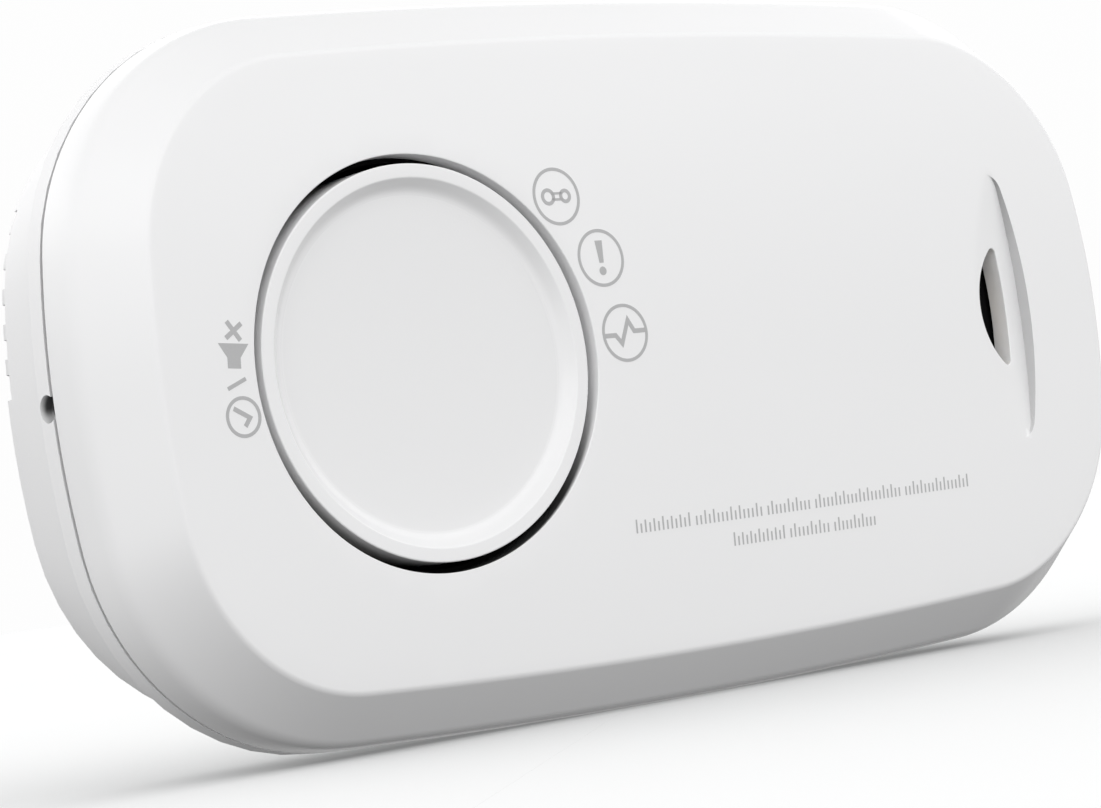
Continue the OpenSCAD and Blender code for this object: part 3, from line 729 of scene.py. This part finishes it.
def button_mesh():
    """The dished button with its rim, skirt and centre post."""
    low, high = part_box("test_button")
    top = (low.y - FACE_Y) / MM
    skirt_end = (high.y - FACE_Y) / MM
    r = BUTTON_R
    rim = r - 3.9
    wall, plate_back, post_r, post_end = 1.5, 2.9, 2.0, 5.35
    dish = [(k, top + 1.15 - 0.1 * (k / rim) ** 2) for k in np.linspace(0, rim, 14)]
    corners = [dish[-1], (r - 2.3, top + 1.05, 1.1), (r - 1.3, top + 0.05, 0.12), (r - 1.2, top, 0.06),
               (r, top, 0.16), (r, skirt_end, 0.2), (r - wall, skirt_end, 0.2), (r - wall, plate_back, 0.3),
               (post_r, plate_back, 0.3), (post_r, post_end, 0.2), (0.0, post_end)]
    return turned_mesh("button", dish[:-1] + eased(corners, 0.2, 7), BUTTON_X, 0.0, 180)


# ------------------------------------------------------------------ printed marks


def ring_shape(x, z, radius, width, count=64):
    """A printed ring as quads of [x, z] rows."""
    outer = circle(x, z, radius + width / 2, count)
    inner = circle(x, z, radius - width / 2, count)
    return [np.array([outer[i], outer[(i + 1) % count], inner[(i + 1) % count], inner[i]])
            for i in range(count)]


def line_shape(points, width):
    """A printed line of mitred pieces through points."""
    p = np.array(points, float)
    way = unit(np.diff(p, axis=0))
    side = np.stack([-way[:, 1], way[:, 0]], 1)
    edge = [side[0]]
    for one, two in zip(side, side[1:]):
        mid = (one + two) / np.linalg.norm(one + two)
        edge.append(mid / max(0.4, mid @ one))
    edge = np.array(edge + [side[-1]]) * width / 2
    return [np.array([p[i] + edge[i], p[i] - edge[i], p[i + 1] - edge[i + 1], p[i + 1] + edge[i + 1]])
            for i in range(len(p) - 1)]


def disc_shape(x, z, radius, count=40):
    return [circle(x, z, radius, count)]


def moved(shapes, x, z, turn=0.0):
    """Shapes turned by an angle in degrees and moved."""
    c, s = math.cos(math.radians(turn)), math.sin(math.radians(turn))
    spin = np.array([[c, s], [-s, c]])
    return [shape @ spin + [x, z] for shape in shapes]


def icon_shapes(kind):
    """One mark inside a ring, about its own middle."""
    ring = ring_shape(0, 0, 2.52, 0.3)
    if kind == "gas":
        bonds = line_shape([(-0.5, 0.28), (0.7, 0.28)], 0.22) + line_shape([(-0.5, -0.28), (0.7, -0.28)], 0.22)
        return ring + ring_shape(-0.95, 0, 0.62, 0.34, 40) + ring_shape(1.02, 0, 0.5, 0.34, 40) + bonds
    if kind == "alarm":
        bar = np.array([[-0.42, 1.6], [-0.24, -0.45], [0.24, -0.45], [0.42, 1.6]])
        return ring + [bar] + disc_shape(0, -1.2, 0.4)
    pulse = [(-2.4, -0.15), (-1.15, -0.15), (-0.5, -0.95), (0.5, 1.15), (1.1, 0.1), (2.4, 0.1)]
    return ring + line_shape(pulse, 0.42)


def button_marks():
    """Mute and test marks at the left of the button, about the button's middle, reading upwards."""
    cross = line_shape([(-0.72, -0.72), (0.72, 0.72)], 0.42) + line_shape([(-0.72, 0.72), (0.72, -0.72)], 0.42)
    speaker = [np.array([[-0.65, -1.05], [0.65, -1.05], [0.65, -0.15],
                         [1.5, 1.05], [-1.5, 1.05], [-0.65, -0.15]])]
    slash = line_shape([(-0.95, -0.35), (0.95, 0.35)], 0.34)
    tick = line_shape([(-0.8, 0.05), (-0.2, -0.6), (0.9, 0.75)], 0.4) + ring_shape(0, 0, 1.6, 0.3, 48)
    marks = []
    for shapes, height, extra in ((cross, 4.15, 0.0), (speaker, 2.05, 0.0), (slash, -0.3, 0.0),
                                  (tick, -3.1, 90.0)):
        lean = math.degrees(math.asin(height / 20.6))
        x = -20.5 * math.cos(math.radians(lean))
        marks += moved(shapes, x, height, extra - lean)
    return marks


def tick_rows():
    """Two rows of fine upright ticks in groups, as tall as small print."""
    rows = []
    heights = (1.25, 0.85, 0.85, 0.85, 1.15, 0.85)
    for left, base, groups in ((-7.7, -17.3, (6.3, 8.0, 5.2, 11.0, 8.4)), (3.9, -19.7, (6.2, 4.8, 5.2))):
        at = left
        for length in groups:
            count = round(length / 0.52)
            for k in range(count + 1):
                x = at + length * k / count
                top = base + heights[(k * k + round(length)) % len(heights)]
                rows.append(np.array([[x - 0.085, base], [x - 0.085, top], [x + 0.085, top], [x + 0.085, base]]))
            at += length + 0.9
    return rows


def marks_mesh(name, shapes, film=0.02):
    """Thin closed films that lie on the face."""
    bm = bmesh.new()
    for shape in shapes:
        front = [bm.verts.new(place(x, face_depth(z) - film, z)) for x, z in shape]
        back = [bm.verts.new(place(x, face_depth(z) + film / 2, z)) for x, z in shape]
        n = len(shape)
        bm.faces.new(front)
        bm.faces.new(back[::-1])
        for i in range(n):
            bm.faces.new((front[(i + 1) % n], front[i], back[i], back[(i + 1) % n]))
    bmesh.ops.recalc_face_normals(bm, faces=bm.faces)
    bmesh.ops.triangulate(bm, faces=[f for f in bm.faces if len(f.verts) > 4])
    mesh = bpy.data.meshes.new(name)
    bm.to_mesh(mesh)
    bm.free()
    return mesh


# ------------------------------------------------------------------ eased CAD copies


def eased_copy(node, name, width, angle=32.0, flat=0.6):
    """A CAD node's shape with its flat faces joined and its sharp edges eased."""
    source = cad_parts[node].data
    bm = bmesh.new()
    bm.from_mesh(source)
    bmesh.ops.remove_doubles(bm, verts=bm.verts, dist=0.002 * MM)
    bmesh.ops.dissolve_degenerate(bm, edges=bm.edges, dist=0.001 * MM)
    bmesh.ops.dissolve_limit(bm, angle_limit=math.radians(flat), verts=bm.verts, edges=bm.edges)
    mesh = bpy.data.meshes.new(name)
    bm.to_mesh(mesh)
    bm.free()
    mesh.materials.clear()
    smooth(mesh, 40.0)
    made = add_object(name, mesh)
    bevel = made.modifiers.new("ease", "BEVEL")
    bevel.width = width * MM
    bevel.segments = 2
    bevel.limit_method = "ANGLE"
    bevel.angle_limit = math.radians(angle)
    bevel.use_clamp_overlap = True
    bevel.miter_outer = "MITER_ARC"
    flat_sides = made.modifiers.new("flat sides", "WEIGHTED_NORMAL")
    flat_sides.weight = 100
    flat_sides.keep_sharp = True
    bake_modifiers(made)
    return made


def bake_modifiers(made):
    """Turns an object and its modifiers into a plain mesh."""
    graph = bpy.context.evaluated_depsgraph_get()
    mesh = bpy.data.meshes.new_from_object(made.evaluated_get(graph))
    mesh.name = made.name
    made.modifiers.clear()
    made.data = mesh


def stand_for(made, body, slot, material, *nodes):
    """Puts a finished piece on its body in place of its CAD nodes."""
    made.data.materials.clear()
    made.data.materials.append(material)
    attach(made, body)
    if nodes:
        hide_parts(*nodes)
    return made


# ------------------------------------------------------------------ repeated pieces


class Recipe(Graph):
    """A Geometry Nodes tree with named inputs that is run once and kept as a plain mesh."""

    def __init__(self, name, **inputs):
        super().__init__(bpy.data.node_groups.new(name, "GeometryNodeTree"))
        self.values = inputs
        self.keys = {}
        for key, value in inputs.items():
            kind = "NodeSocketInt" if isinstance(value, int) else "NodeSocketFloat"
            made = self.tree.interface.new_socket(name=key.replace("_", " ").capitalize(),
                                                  in_out="INPUT", socket_type=kind)
            self.keys[key] = made.identifier
        self.tree.interface.new_socket(name="Geometry", in_out="OUTPUT", socket_type="NodeSocketGeometry")
        self.source = self.tree.nodes.new("NodeGroupInput")
        self.drain = self.tree.nodes.new("NodeGroupOutput")

    def value(self, key):
        return Socket(self, self.source.outputs[list(self.keys).index(key)])

    def vector(self, x=0.0, y=0.0, z=0.0):
        return self.node("ShaderNodeCombineXYZ", None, x, y, z)

    def wire(self, curve, radius, sides):
        """Round wire along a curve."""
        ring = self.node("GeometryNodeCurvePrimitiveCircle", None, Resolution=sides, Radius=radius)
        made = self.node("GeometryNodeCurveToMesh", None, curve, ring)
        made.link.node.inputs["Fill Caps"].default_value = True
        return made

    def join(self, *parts):
        made = self.tree.nodes.new("GeometryNodeJoinGeometry")
        for part in parts:
            self.tree.links.new(part.link, made.inputs[0])
        return Socket(self, made.outputs[0])

    def make(self, name, geometry, material):
        real = self.node("GeometryNodeRealizeInstances", None, geometry)
        done = self.node("GeometryNodeSetMaterial", None, real, Material=material)
        self.tree.links.new(done.link, self.drain.inputs[0])
        made = add_object(name, bpy.data.meshes.new(name))
        modifier = made.modifiers.new("recipe", "NODES")
        modifier.node_group = self.tree
        for key, value in self.values.items():
            modifier[self.keys[key]] = value
        bake_modifiers(made)
        smooth(made.data, 50.0)
        return made


def screen_piece(material):
    """Insect screen: two crossed layers of fine wire that fill the screen's box."""
    low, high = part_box("vent_mesh")
    size = high - low
    recipe = Recipe("insect_screen", wire_radius=size.x / 4, width=size.y, height=size.z,
                    columns=14, rows=27)
    radius, width, height = (recipe.value(k) for k in ("wire_radius", "width", "height"))
    layers = []
    for count, reach, length, side in (("columns", width, height, 0), ("rows", height, width, 1)):
        gap = (reach - 2 * radius) / (recipe.value(count) - 1)
        start = low.x + radius * (1 + 2 * side)
        if side:
            reach_to, step = recipe.vector(0.0, length), recipe.vector(0.0, 0.0, gap)
            first = recipe.vector(start, low.y, low.z + radius)
        else:
            reach_to, step = recipe.vector(0.0, 0.0, length), recipe.vector(0.0, gap)
            first = recipe.vector(start, low.y + radius, low.z)
        line = recipe.node("GeometryNodeCurvePrimitiveLine", None, recipe.vector(), reach_to)
        points = recipe.node("GeometryNodeMeshLine", None, Count=recipe.value(count), Start_Location=first,
                             Offset=step)
        layers.append(recipe.node("GeometryNodeInstanceOnPoints", None, points,
                                  Instance=recipe.wire(line, radius, 8)))
    return recipe.make("insect_screen", recipe.join(*layers), material)


def spring_piece(name, material, wire, radius, length, turns, turned, starts):
    """Equal coil springs, one from each start, turned from Z to the way they run."""
    recipe = Recipe(name, wire_radius=wire * MM, coil_radius=radius * MM, length=length * MM, turns=turns)
    reach = recipe.value("coil_radius")
    coil = recipe.node("GeometryNodeCurveSpiral", None, Resolution=28, Rotations=recipe.value("turns"),
                       Start_Radius=reach, End_Radius=reach, Height=recipe.value("length"))
    round_wire = recipe.wire(coil, recipe.value("wire_radius"), 12)
    springs = [recipe.node("GeometryNodeTransform", None, round_wire, Translation=tuple(start), Rotation=turned)
               for start in starts]
    return recipe.make(name, recipe.join(*springs), material)


def cell_springs(material):
    """Springs at the open ends of the two cells."""
    low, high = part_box("cell_springs")
    wire, radius, length = 0.25, 3.0, 1.9
    y = (low.y + high.y) / 2
    reach = (radius + wire) * MM
    past = 0.216 * MM
    starts = (Vector((low.x + past, y, low.z + reach)),
              Vector((high.x - past - length * MM, y, high.z - reach)))
    return spring_piece("coil_springs", material, wire, radius, length, 2, (0.0, math.pi / 2, 0.0), starts)


def return_springs(material):
    """Springs between the button and the shelf of its guide ring."""
    low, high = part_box("button_springs")
    wire, radius, past = 0.25, 1.6, 0.215
    length = (high.y - low.y) / MM - 2 * past
    x = (low.x + high.x) / 2
    reach = (radius + wire) * MM
    starts = [Vector((x, low.y + past * MM, z)) for z in (low.z + reach, high.z - reach)]
    return spring_piece("return_springs", material, wire, radius, length, 3, (-math.pi / 2, 0.0, 0.0), starts)


# ------------------------------------------------------------------ settings


class DetectorSettings(bpy.types.PropertyGroup):
    cover_colour: bpy.props.FloatVectorProperty(
        name="Cover colour", description="Colour of the glossy front cover", subtype="COLOR",
        size=4, min=0.0, max=1.0, default=(0.8, 0.8, 0.805, 1.0))
    housing_colour: bpy.props.FloatVectorProperty(
        name="Housing colour", description="Colour of the rear housing and the door", subtype="COLOR",
        size=4, min=0.0, max=1.0, default=(0.79, 0.79, 0.795, 1.0))
    button_colour: bpy.props.FloatVectorProperty(
        name="Button colour", description="Colour of the test button", subtype="COLOR",
        size=4, min=0.0, max=1.0, default=(0.79, 0.79, 0.795, 1.0))
    ink_colour: bpy.props.FloatVectorProperty(
        name="Ink colour", description="Colour of the printed marks", subtype="COLOR",
        size=4, min=0.0, max=1.0, default=(0.42, 0.42, 0.425, 1.0))
    crease_ease: bpy.props.FloatProperty(
        name="Crease ease", description="How far the crease round the face is eased, in millimetres",
        min=0.2, max=2.0, default=0.4)
    edge_ease: bpy.props.FloatProperty(
        name="Edge ease", description="Width of the eased edges of the moulded parts, in millimetres",
        min=0.05, max=0.4, default=0.22)
    studio_light: bpy.props.FloatProperty(
        name="Studio light", description="Brightness of the studio's brightest band",
        min=0.0, max=6.0, default=2.03)


def settings():
    return bpy.context.scene.detector


# ------------------------------------------------------------------ operators


class BuildFrontCover(bpy.types.Operator):
    """Build the glossy front cover"""

    bl_idname = "detector.front_cover"
    bl_label = "Front cover"

    def execute(self, context):
        mesh = cover_mesh(settings().crease_ease)
        smooth(mesh, 30.0)
        made = add_object("front_cover_shell", mesh)
        stand_for(made, "case", "cover_white", gloss_white(settings().cover_colour), "front_cover")
        return {"FINISHED"}


class BuildButton(bpy.types.Operator):
    """Build the dished test button"""

    bl_idname = "detector.button"
    bl_label = "Test button"

    def execute(self, context):
        mesh = button_mesh()
        smooth(mesh, 40.0)
        made = add_object("test_button_dish", mesh)
        stand_for(made, "button", "button_white", satin_button(settings().button_colour), "test_button")
        return {"FINISHED"}


class BuildMarks(bpy.types.Operator):
    """Build the printed icons and marks on the cover"""

    bl_idname = "detector.marks"
    bl_label = "Printed marks"

    def execute(self, context):
        ink = printed_ink(settings().ink_colour)
        groups = {"button_marks": moved(button_marks(), BUTTON_X, 0.0), "tick_marks": tick_rows()}
        for kind, angle, reach in zip(("gas", "alarm", "pulse"), ICON_ANGLES, ICON_REACH):
            turn = math.radians(angle)
            groups[kind + "_icon"] = moved(icon_shapes(kind), BUTTON_X + reach * math.cos(turn),
                                           reach * math.sin(turn))
        for name, shapes in groups.items():
            made = add_object(name, marks_mesh(name, shapes))
            made.data.materials.append(ink)
            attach(made, "case")
        return {"FINISHED"}


class BuildCase(bpy.types.Operator):
    """Build the rear housing, the battery door and the wall plate"""

    bl_idname = "detector.case"
    bl_label = "Case parts"

    def execute(self, context):
        ease = settings().edge_ease
        # The housing's white carries painted shade inside the locking pin's bore
        white = textured_white("housing_texture", settings().housing_colour, shade=painted_bore_shade)
        plate = textured_white("plate_texture", tone(settings().housing_colour, 0.97), 0.01)
        for node, name, body, slot, material in (
            ("rear_housing", "rear_housing_shell", "case", "housing_white", white),
            ("battery_door", "battery_door_panel", "door", "housing_white", white),
            ("wall_plate", "wall_plate_panel", "plate", "plate_white", plate),
        ):
            stand_for(eased_copy(node, name, ease), body, slot, material, node)
        return {"FINISHED"}


class BuildInside(bpy.types.Operator):
    """Give the CAD parts that stay as they are their finishes"""

    bl_idname = "detector.inside"
    bl_label = "Inner parts"

    def execute(self, context):
        black = dark_plastic("black_plastic", (0.006, 0.006, 0.0065))
        matt = dark_plastic("matt_black", (0.003, 0.003, 0.003), 0.8, 0.05)
        grey = dark_plastic("grey_epoxy", (0.09, 0.09, 0.095))
        chip = dark_plastic("black_epoxy", (0.03, 0.03, 0.03), 0.4)
        steel = bare_metal("bright_steel", (0.62, 0.62, 0.63))
        brass = bare_metal("bright_brass", (0.78, 0.60, 0.30))
        nickel = bare_metal("nickel_strip", (0.72, 0.70, 0.66), 0.2)
        clear = clear_resin("clear_guide", (0.93, 0.95, 0.95), 0.9)
        foam = soft_foam("dark_foam", (0.006, 0.006, 0.0065))
        looks = {
            "button_guide_ring": matt, "light_shroud": black, "sounder_horn": matt,
            "board_components": grey, "switch_body": grey, "switch_plunger": chip,
            "microcontroller": chip,
            "door_hinge_pin": steel, "case_screws": steel, "board_screws": steel,
            "sensor_can": steel, "sensor_pins": brass, "piezo_disc": brass,
            "cell_contacts": nickel, "bridge_contact": nickel,
            "alarm_light_guide": clear, "fault_light_guide": clear, "power_light_guide": clear,
            "sounder_gasket": foam, "door_foam_strip": foam,
            "sensor_seal": soft_foam("seal_rubber", (0.04, 0.04, 0.04), 5000.0),
            "sensor_cap": dark_plastic("sensor_grey", (0.3, 0.3, 0.31)),
            "sounder_clamp_ring": textured_white("clamp_white", (0.76, 0.76, 0.77)),
            "main_board": dark_plastic("board_mask", (0.015, 0.15, 0.06), 0.3),
            "reservoir_capacitor": dark_plastic("capacitor_sleeve", (0.03, 0.04, 0.12), 0.25),
            "sounder_coil": bare_metal("enamelled_copper", (0.7, 0.3, 0.13), 0.3, (1, 30, 1)),
            "alarm_led": clear_resin("red_resin", (0.8, 0.03, 0.02), 0.5),
            "fault_led": clear_resin("amber_resin", (0.9, 0.45, 0.03), 0.5),
            "power_led": clear_resin("green_resin", (0.05, 0.6, 0.12), 0.5),
            "piezo_ceramic": dark_plastic("silvered_ceramic", (0.78, 0.77, 0.72), 0.35),
            "sounder_lead_red": dark_plastic("red_lead", (0.55, 0.02, 0.015), 0.4),
            "sounder_lead_black": dark_plastic("black_lead", (0.02, 0.02, 0.02), 0.4),
            "upper_cell": bare_metal("cell_wrap", (0.75, 0.55, 0.2), 0.3),
            "rating_label": textured_white("blank_label", (0.78, 0.78, 0.76)),
        }
        looks["lower_cell"] = looks["upper_cell"]
        for node, material in looks.items():
            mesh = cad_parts[node].data
            mesh.materials.clear()
            mesh.materials.append(material)
        stand_for(screen_piece(steel), "case", "mesh_steel", steel, "vent_mesh")
        stand_for(cell_springs(steel), "case", "spring_steel", steel, "cell_springs")
        springs = stand_for(return_springs(steel), "case", "spring_steel", steel, "button_springs")
        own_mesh(springs)
        return {"FINISHED"}


class BuildStage(bpy.types.Operator):
    """Make the camera, the pale floor and the soft studio light"""

    bl_idname = "detector.stage"
    bl_label = "Stage"

    def execute(self, context):
        scene = context.scene
        scene.view_settings.view_transform = "Standard"
        make_camera(scene)
        make_world(scene, settings().studio_light)
        make_floor()
        make_backdrop()
        return {"FINISHED"}


def make_camera(scene):
    """Camera at the left front, a little above the floor, looking slightly up and leaning."""
    turn, tilt, lean = math.radians(-38.59), math.radians(-2.44), math.radians(-8.22)
    back = Vector((math.sin(turn) * math.cos(tilt), -math.cos(turn) * math.cos(tilt), math.sin(tilt)))
    right = (-back).cross(Vector((0, 0, 1))).normalized()
    up = right.cross(-back)
    leaning_right = math.cos(lean) * right + math.sin(lean) * up
    leaning_up = -math.sin(lean) * right + math.cos(lean) * up
    data = bpy.data.cameras.new("camera")
    data.sensor_fit = "HORIZONTAL"
    data.sensor_width = 36.0
    data.lens = 113.55
    data.clip_start = 0.01
    data.clip_end = 50.0
    camera = bpy.data.objects.new("camera", data)
    scene.collection.objects.link(camera)
    basis = Matrix((leaning_right, leaning_up, back)).transposed()
    camera.matrix_world = Matrix.Translation(place(-208.62, -241.28, -17.97)) @ basis.to_4x4()
    scene.camera = camera


def make_world(scene, level):
    """Soft studio: bright low all round, dim overhead, underneath and at the horizon behind."""
    world = bpy.data.worlds.new("studio")
    world.use_nodes = True
    scene.world = world
    graph = Graph(world.node_tree)
    way = graph.node("ShaderNodeTexCoord", None, out=0)
    x, y, z = (graph.node("ShaderNodeSeparateXYZ", None, way, out=k) for k in range(3))
    ease = {"interpolation_type": "SMOOTHSTEP"}
    right = graph.node("ShaderNodeMapRange", ease, x, -0.3, 0.5)
    behind = graph.node("ShaderNodeMapRange", ease, y, -0.1, 0.4)
    front, back = (
        graph.node("ShaderNodeValToRGB", {"stops": [(at, (v, v, v, 1.0)) for at, v in sky]}, z * 0.5 + 0.5)
        for sky in (FRONT_SKY, BACK_SKY))
    band = front + behind * (back - front)
    dim = 1 - 0.14 * right
    backdrop = world.node_tree.nodes["Background"]
    backdrop.inputs["Color"].default_value = (1.0, 1.0, 1.0, 1.0)
    world.node_tree.links.new((band * dim * level).link, backdrop.inputs["Strength"])


def make_floor():
    """Large pale, faintly glowing floor with a painted contact shadow in its colour and its glow; light from
    below comes from the studio, not from it.
    """
    mesh = bpy.data.meshes.new("floor")
    far = 30.0
    mesh.from_pydata([(-far, -far, 0), (far, -far, 0), (far, far, 0), (-far, far, 0)], [], [(0, 1, 2, 3)])
    finish = Finish("pale_floor", Roughness=0.7, Specular_IOR_Level=0.0, Emission_Strength=1.0)
    soft = finish.noise(3.0, 2.0)
    # Painted contact shadow: the floor's colour and glow are darkened where the object hides the open sky
    open_sky = finish.node("ShaderNodeAmbientOcclusion", {"samples": 16}, out=1, Distance=0.2)
    shade = 0.56 + 0.44 * open_sky
    finish.set(Base_Color=finish.mix(shade, (0.0, 0.0, 0.0, 1.0),
                                     finish.mix(soft, (0.63, 0.63, 0.63, 1), (0.65, 0.65, 0.65, 1))))
    finish.set(Emission_Color=finish.mix(shade, (0.0, 0.0, 0.0, 1.0), (0.28, 0.284, 0.284, 1.0)))
    floor = add_object("floor", mesh, finish.material)
    floor.visible_diffuse = False
    floor.visible_glossy = False


def make_backdrop():
    """White dome far outside the studio that only the camera sees."""
    mesh = bpy.data.meshes.new("backdrop")
    bm = bmesh.new()
    bmesh.ops.create_uvsphere(bm, u_segments=48, v_segments=24, radius=28.0)
    bm.to_mesh(mesh)
    bm.free()
    mesh.shade_smooth()
    finish = Finish("white_backdrop", Roughness=1.0, Specular_IOR_Level=0.0, Emission_Strength=1.0,
                    Base_Color=(0.0, 0.0, 0.0, 1.0))
    lift = finish.between(finish.axis("Z"), -5.0, 28.0)
    finish.set(Emission_Color=finish.mix(lift, (0.985, 0.985, 0.985, 1), (0.995, 0.995, 0.995, 1)))
    dome = add_object("backdrop", mesh, finish.material)
    for way in ("diffuse", "glossy", "transmission", "shadow", "volume_scatter"):
        setattr(dome, "visible_" + way, False)


class DetectorPanel(bpy.types.Panel):
    """Lists the pieces and the stage"""

    bl_idname = "VIEW3D_PT_detector"
    bl_label = "Detector"
    bl_space_type = "VIEW_3D"
    bl_region_type = "UI"
    bl_category = "Detector"

    def draw(self, context):
        for name in DetectorSettings.__annotations__:
            self.layout.prop(context.scene.detector, name)
        for operator in OPERATORS:
            self.layout.operator(operator.bl_idname)


OPERATORS = (BuildStage, BuildFrontCover, BuildButton, BuildMarks, BuildCase, BuildInside)


def register():
    for cls in (DetectorSettings, *OPERATORS, DetectorPanel):
        bpy.utils.register_class(cls)
    bpy.types.Scene.detector = bpy.props.PointerProperty(type=DetectorSettings)


def unregister():
    del bpy.types.Scene.detector
    for cls in (DetectorPanel, *reversed(OPERATORS), DetectorSettings):
        bpy.utils.unregister_class(cls)


def main():
    register()
    for operator in OPERATORS:
        group, name = operator.bl_idname.split(".")
        getattr(getattr(bpy.ops, group), name)()
    bpy.context.view_layer.update()


if __name__ == "__main__":
    main()
